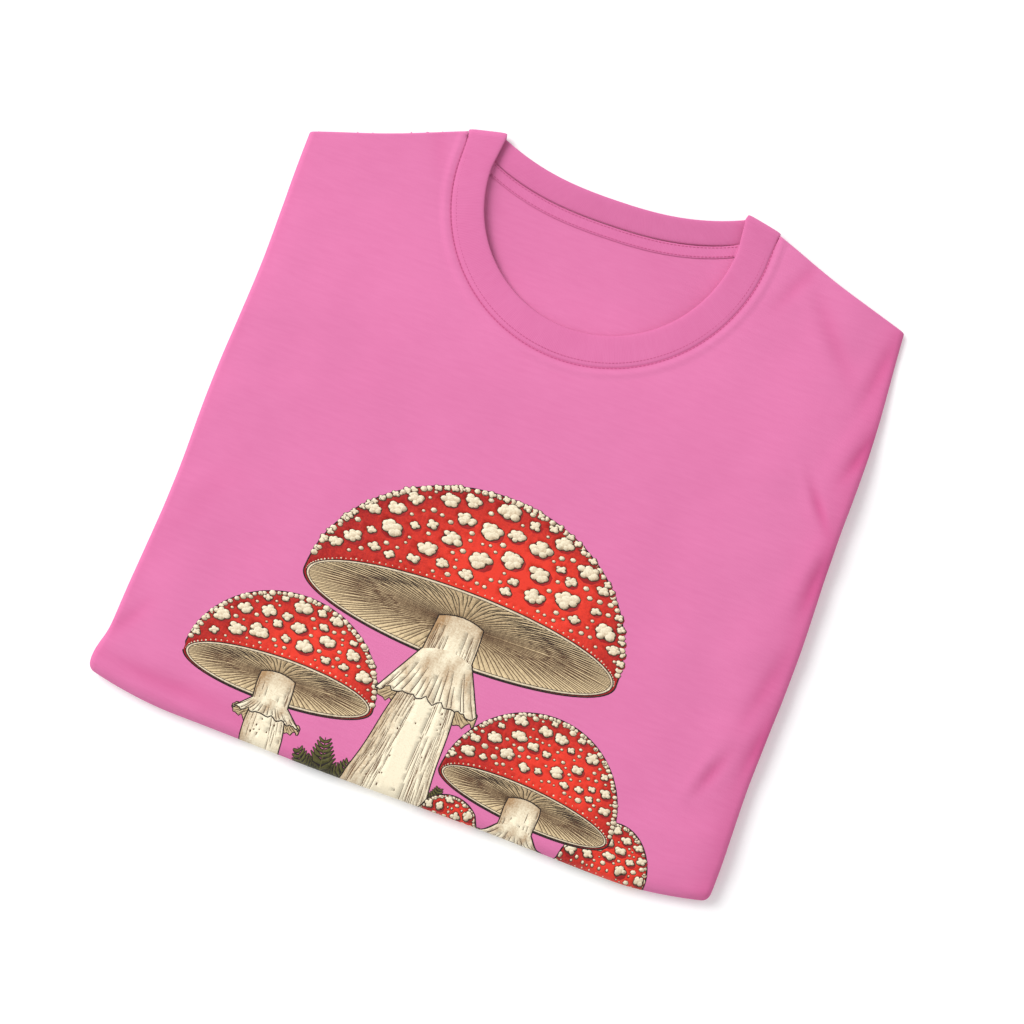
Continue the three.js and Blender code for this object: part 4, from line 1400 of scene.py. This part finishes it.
def make_stitch_tree():
    """Sews stitches of one size along the edges of a mesh."""
    tree = bpy.data.node_groups.new("row of stitches", "GeometryNodeTree")
    interface = tree.interface
    interface.new_socket("Geometry", in_out="INPUT", socket_type="NodeSocketGeometry")
    stitch_length = STITCH_SHARE * STITCH_PITCH
    for name, value in (("Pitch", STITCH_PITCH), ("Stitch length", stitch_length), ("Thread width", THREAD)):
        interface.new_socket(name, in_out="INPUT", socket_type="NodeSocketFloat").default_value = value * MM
    interface.new_socket("Thread", in_out="INPUT", socket_type="NodeSocketMaterial")
    interface.new_socket("Geometry", in_out="OUTPUT", socket_type="NodeSocketGeometry")
    w = Wiring(tree)
    given = w.node("NodeGroupInput").outputs
    line = w.node("GeometryNodeMeshToCurve", {"Mesh": given["Geometry"]}).outputs[0]
    spots = w.node("GeometryNodeCurveToPoints", {"Curve": line, "Length": given["Pitch"]}, mode="LENGTH")
    ball = w.node("GeometryNodeMeshUVSphere", {"Segments": 7, "Rings": 5, "Radius": 0.5}).outputs[0]
    width, length = given["Thread width"], given["Stitch length"]
    size = w.node("ShaderNodeCombineXYZ", {0: width, 1: width, 2: length}).outputs[0]
    stitch = w.node("GeometryNodeTransform", {"Geometry": ball, "Scale": size}).outputs[0]
    placed = w.node(
        "GeometryNodeInstanceOnPoints",
        {"Points": spots.outputs["Points"], "Instance": stitch, "Rotation": spots.outputs["Rotation"]},
    )
    solid = w.node("GeometryNodeRealizeInstances", {"Geometry": placed.outputs[0]}).outputs[0]
    round_ones = w.node("GeometryNodeSetShadeSmooth", {"Geometry": solid}).outputs[0]
    finish = {"Geometry": round_ones, "Material": given["Thread"]}
    finished = w.node("GeometryNodeSetMaterial", finish).outputs[0]
    w.node("NodeGroupOutput", {"Geometry": finished})
    return tree


stitch_tree = make_stitch_tree()


def sew(name, node, paths, pitch=STITCH_PITCH):
    """Rows of stitches as one plain mesh that replaces a node. Each path is an array of places in metres."""
    vertices = np.concatenate(paths)
    ends = np.cumsum([len(path) for path in paths])
    edges = [(k, k + 1) for k in range(len(vertices) - 1) if k + 1 not in ends]
    guide_mesh = bpy.data.meshes.new(name + "_line")
    guide_mesh.from_pydata([tuple(p) for p in vertices], edges, [])
    guide = bpy.data.objects.new(name + "_line", guide_mesh)
    bpy.context.scene.collection.objects.link(guide)
    sewing = guide.modifiers.new("stitches", "NODES")
    sewing.node_group = stitch_tree
    inputs = [item for item in stitch_tree.interface.items_tree if item.in_out == "INPUT"]
    sockets = {item.name: item.identifier for item in inputs}
    sewing[sockets["Pitch"]] = pitch * MM
    sewing[sockets["Stitch length"]] = STITCH_SHARE * pitch * MM
    sewing[sockets["Thread"]] = thread_finish
    evaluated = guide.evaluated_get(bpy.context.evaluated_depsgraph_get())
    mesh = bpy.data.meshes.new_from_object(evaluated)
    mesh.name = name
    bpy.data.objects.remove(guide)
    stitches = bpy.data.objects.new(name, mesh)
    bpy.context.scene.collection.objects.link(stitches)
    finish_piece(stitches, "sewing_thread", node)


def neck_row(radius):
    """u and v along a row of stitches round the front neck, from one neck point to the other."""
    turns = np.linspace(0, 1, 300) * math.pi
    climb = np.linspace(NECK_POINT_V - 3, NECK_V, 14, endpoint=False)
    side = np.concatenate([np.ones(14), np.cos(turns), -np.ones(14)])
    v = np.concatenate([climb, NECK_V - radius * np.sin(turns), climb[::-1]])
    return radius * side, v


row_on_rib = surface(*neck_row(SEAM_RADIUS - 2.9), STACK + 0.2)
row_on_body = front_point(*neck_row(SEAM_RADIUS + 0.9), STACK + 0.06)
row_above_tape = tape_point(tape_u * 0.97, TAPE_ROW_INSET, TAPE_THREAD_HEIGHT)
row_below_tape = tape_point(tape_u * 0.97, TAPE_WIDTH - TAPE_ROW_INSET, TAPE_THREAD_HEIGHT)
sew("stitches_on_rib", "collar_thread_on_rib", [row_on_rib], pitch=2.4)
sew("stitches_on_body", "collar_thread_on_body", [row_on_body], pitch=2.8)
sew("stitches_above_tape", "neck_tape_upper_thread", [row_above_tape])
sew("stitches_below_tape", "neck_tape_lower_thread", [row_below_tape])
for side, hand in (("left", 1), ("right", -1)):
    shoulder_u = np.linspace(NECK_POINT_U + 3, SHOULDER_U - 16, 30)
    shoulder_line = surface(hand * shoulder_u, shoulder_v(shoulder_u) - 4, SEAM_LEVEL)
    sew(f"{side}_shoulder_seam", f"{side}_shoulder_thread", [shoulder_line])
    climb = np.linspace(0, 0.78, 50)
    armhole_v = UNDERARM_V + 4 + (SHOULDER_V - UNDERARM_V) * climb
    armhole_line = surface(hand * (armhole_reach(climb) - SEAM_INSET), armhole_v, SEAM_LEVEL)
    sew(f"{side}_armhole_seam", f"{side}_armhole_thread", [armhole_line])
    side_v = np.linspace(HEM_V + 30, UNDERARM_V - 4, 220)
    side_line = surface(hand * (CHEST_HALF - SEAM_INSET), side_v, SEAM_LEVEL)
    sew(f"{side}_side_seam", f"{side}_side_thread", [side_line])
    around = np.linspace(0.01, 0.99, 160)
    cuff_lines = [sleeve_point(hand, along, around, JERSEY / 2 + height) for along, height in CUFF_ROWS]
    sew(f"{side}_cuff_stitches", f"{side}_sleeve_hem_thread", cuff_lines)
hem_u = np.linspace(-CHEST_HALF + 3, CHEST_HALF - 3, 320)
hem_rows = [HEM_V + HEM_DEPTH - drop for drop in HEM_ROW_DROPS]
front_hem_lines = [front_point(hem_u, v, FRONT_LEVEL + HEM_THREAD_HEIGHT) for v in hem_rows]
back_hem_lines = [back_point(hem_u, v, BACK_LEVEL - HEM_THREAD_HEIGHT) for v in hem_rows]
sew("front_hem_stitches", "front_hem_thread", front_hem_lines)
sew("back_hem_stitches", "back_hem_thread", back_hem_lines)


# ---- Pieces on the root body, in place of their parts ----------------------------------------------------
finish_piece(front_cloth, "jersey", "front_panel")
finish_piece(back_cloth, "jersey", "back_panel")
finish_piece(collar, "collar_rib", "collar_rib")
finish_piece(tape, "neck_tape", "neck_tape")
for side, sleeve in sleeves.items():
    finish_piece(sleeve, "jersey", f"{side}_sleeve")

# ---- Floor, light and camera -----------------------------------------------------------------------------
VIEW_TURN = math.radians(20.7)  # the shirt lies turned clockwise in the view
VIEW_SPAN = 0.706  # metres of floor from side to side of the view
VIEW_CENTRE = (0.0075, -0.0161)
LENS, SENSOR = 100, 36
FLOOR_REACH = 6
FLOOR_LEVEL = -0.0001
FLOOR_GLOW = 0.12
SURROUNDING_LIGHT = 0.64


def make_floor():
    """A pale floor just under the shirt."""
    corners = [(-1, -1), (1, -1), (1, 1), (-1, 1)]
    vertices = [(x * FLOOR_REACH, y * FLOOR_REACH, FLOOR_LEVEL) for x, y in corners]
    floor = new_piece("floor", vertices, [(0, 1, 2, 3)])
    material, w = new_material("pale floor")
    principled(w, (0.93, 0.93, 0.93, 1), 0.9, glow=FLOOR_GLOW)
    floor.data.materials.append(material)


def add_light(name, azimuth, elevation, distance, size, watts):
    """A square area light that looks at the shirt."""
    data = bpy.data.lights.new(name, "AREA")
    data.size = size
    data.energy = watts
    light = bpy.data.objects.new(name, data)
    around, up = math.radians(azimuth), math.radians(elevation)
    light.location = (
        distance * math.cos(up) * math.cos(around),
        distance * math.cos(up) * math.sin(around),
        distance * math.sin(up),
    )
    light.rotation_euler = (0, math.pi / 2 - up, around)
    bpy.context.scene.collection.objects.link(light)


def light_scene():
    """Soft light from all round, and one large light from the upper left."""
    world = bpy.data.worlds.new("studio")
    world.use_nodes = True
    background = world.node_tree.nodes["Background"]
    background.inputs["Color"].default_value = (1, 1, 1, 1)
    background.inputs["Strength"].default_value = SURROUNDING_LIGHT
    bpy.context.scene.world = world
    add_light("key", azimuth=155, elevation=44, distance=7.0, size=4.2, watts=425)


def place_camera():
    """A camera that looks straight down."""
    data = bpy.data.cameras.new("camera")
    data.lens = LENS
    data.sensor_width = SENSOR
    camera = bpy.data.objects.new("camera", data)
    camera.location = (*VIEW_CENTRE, VIEW_SPAN * LENS / SENSOR)
    camera.rotation_euler = (0, 0, VIEW_TURN)
    bpy.context.scene.collection.objects.link(camera)
    bpy.context.scene.camera = camera


make_floor()
light_scene()
place_camera()
bpy.context.scene.view_settings.view_transform = "Standard"
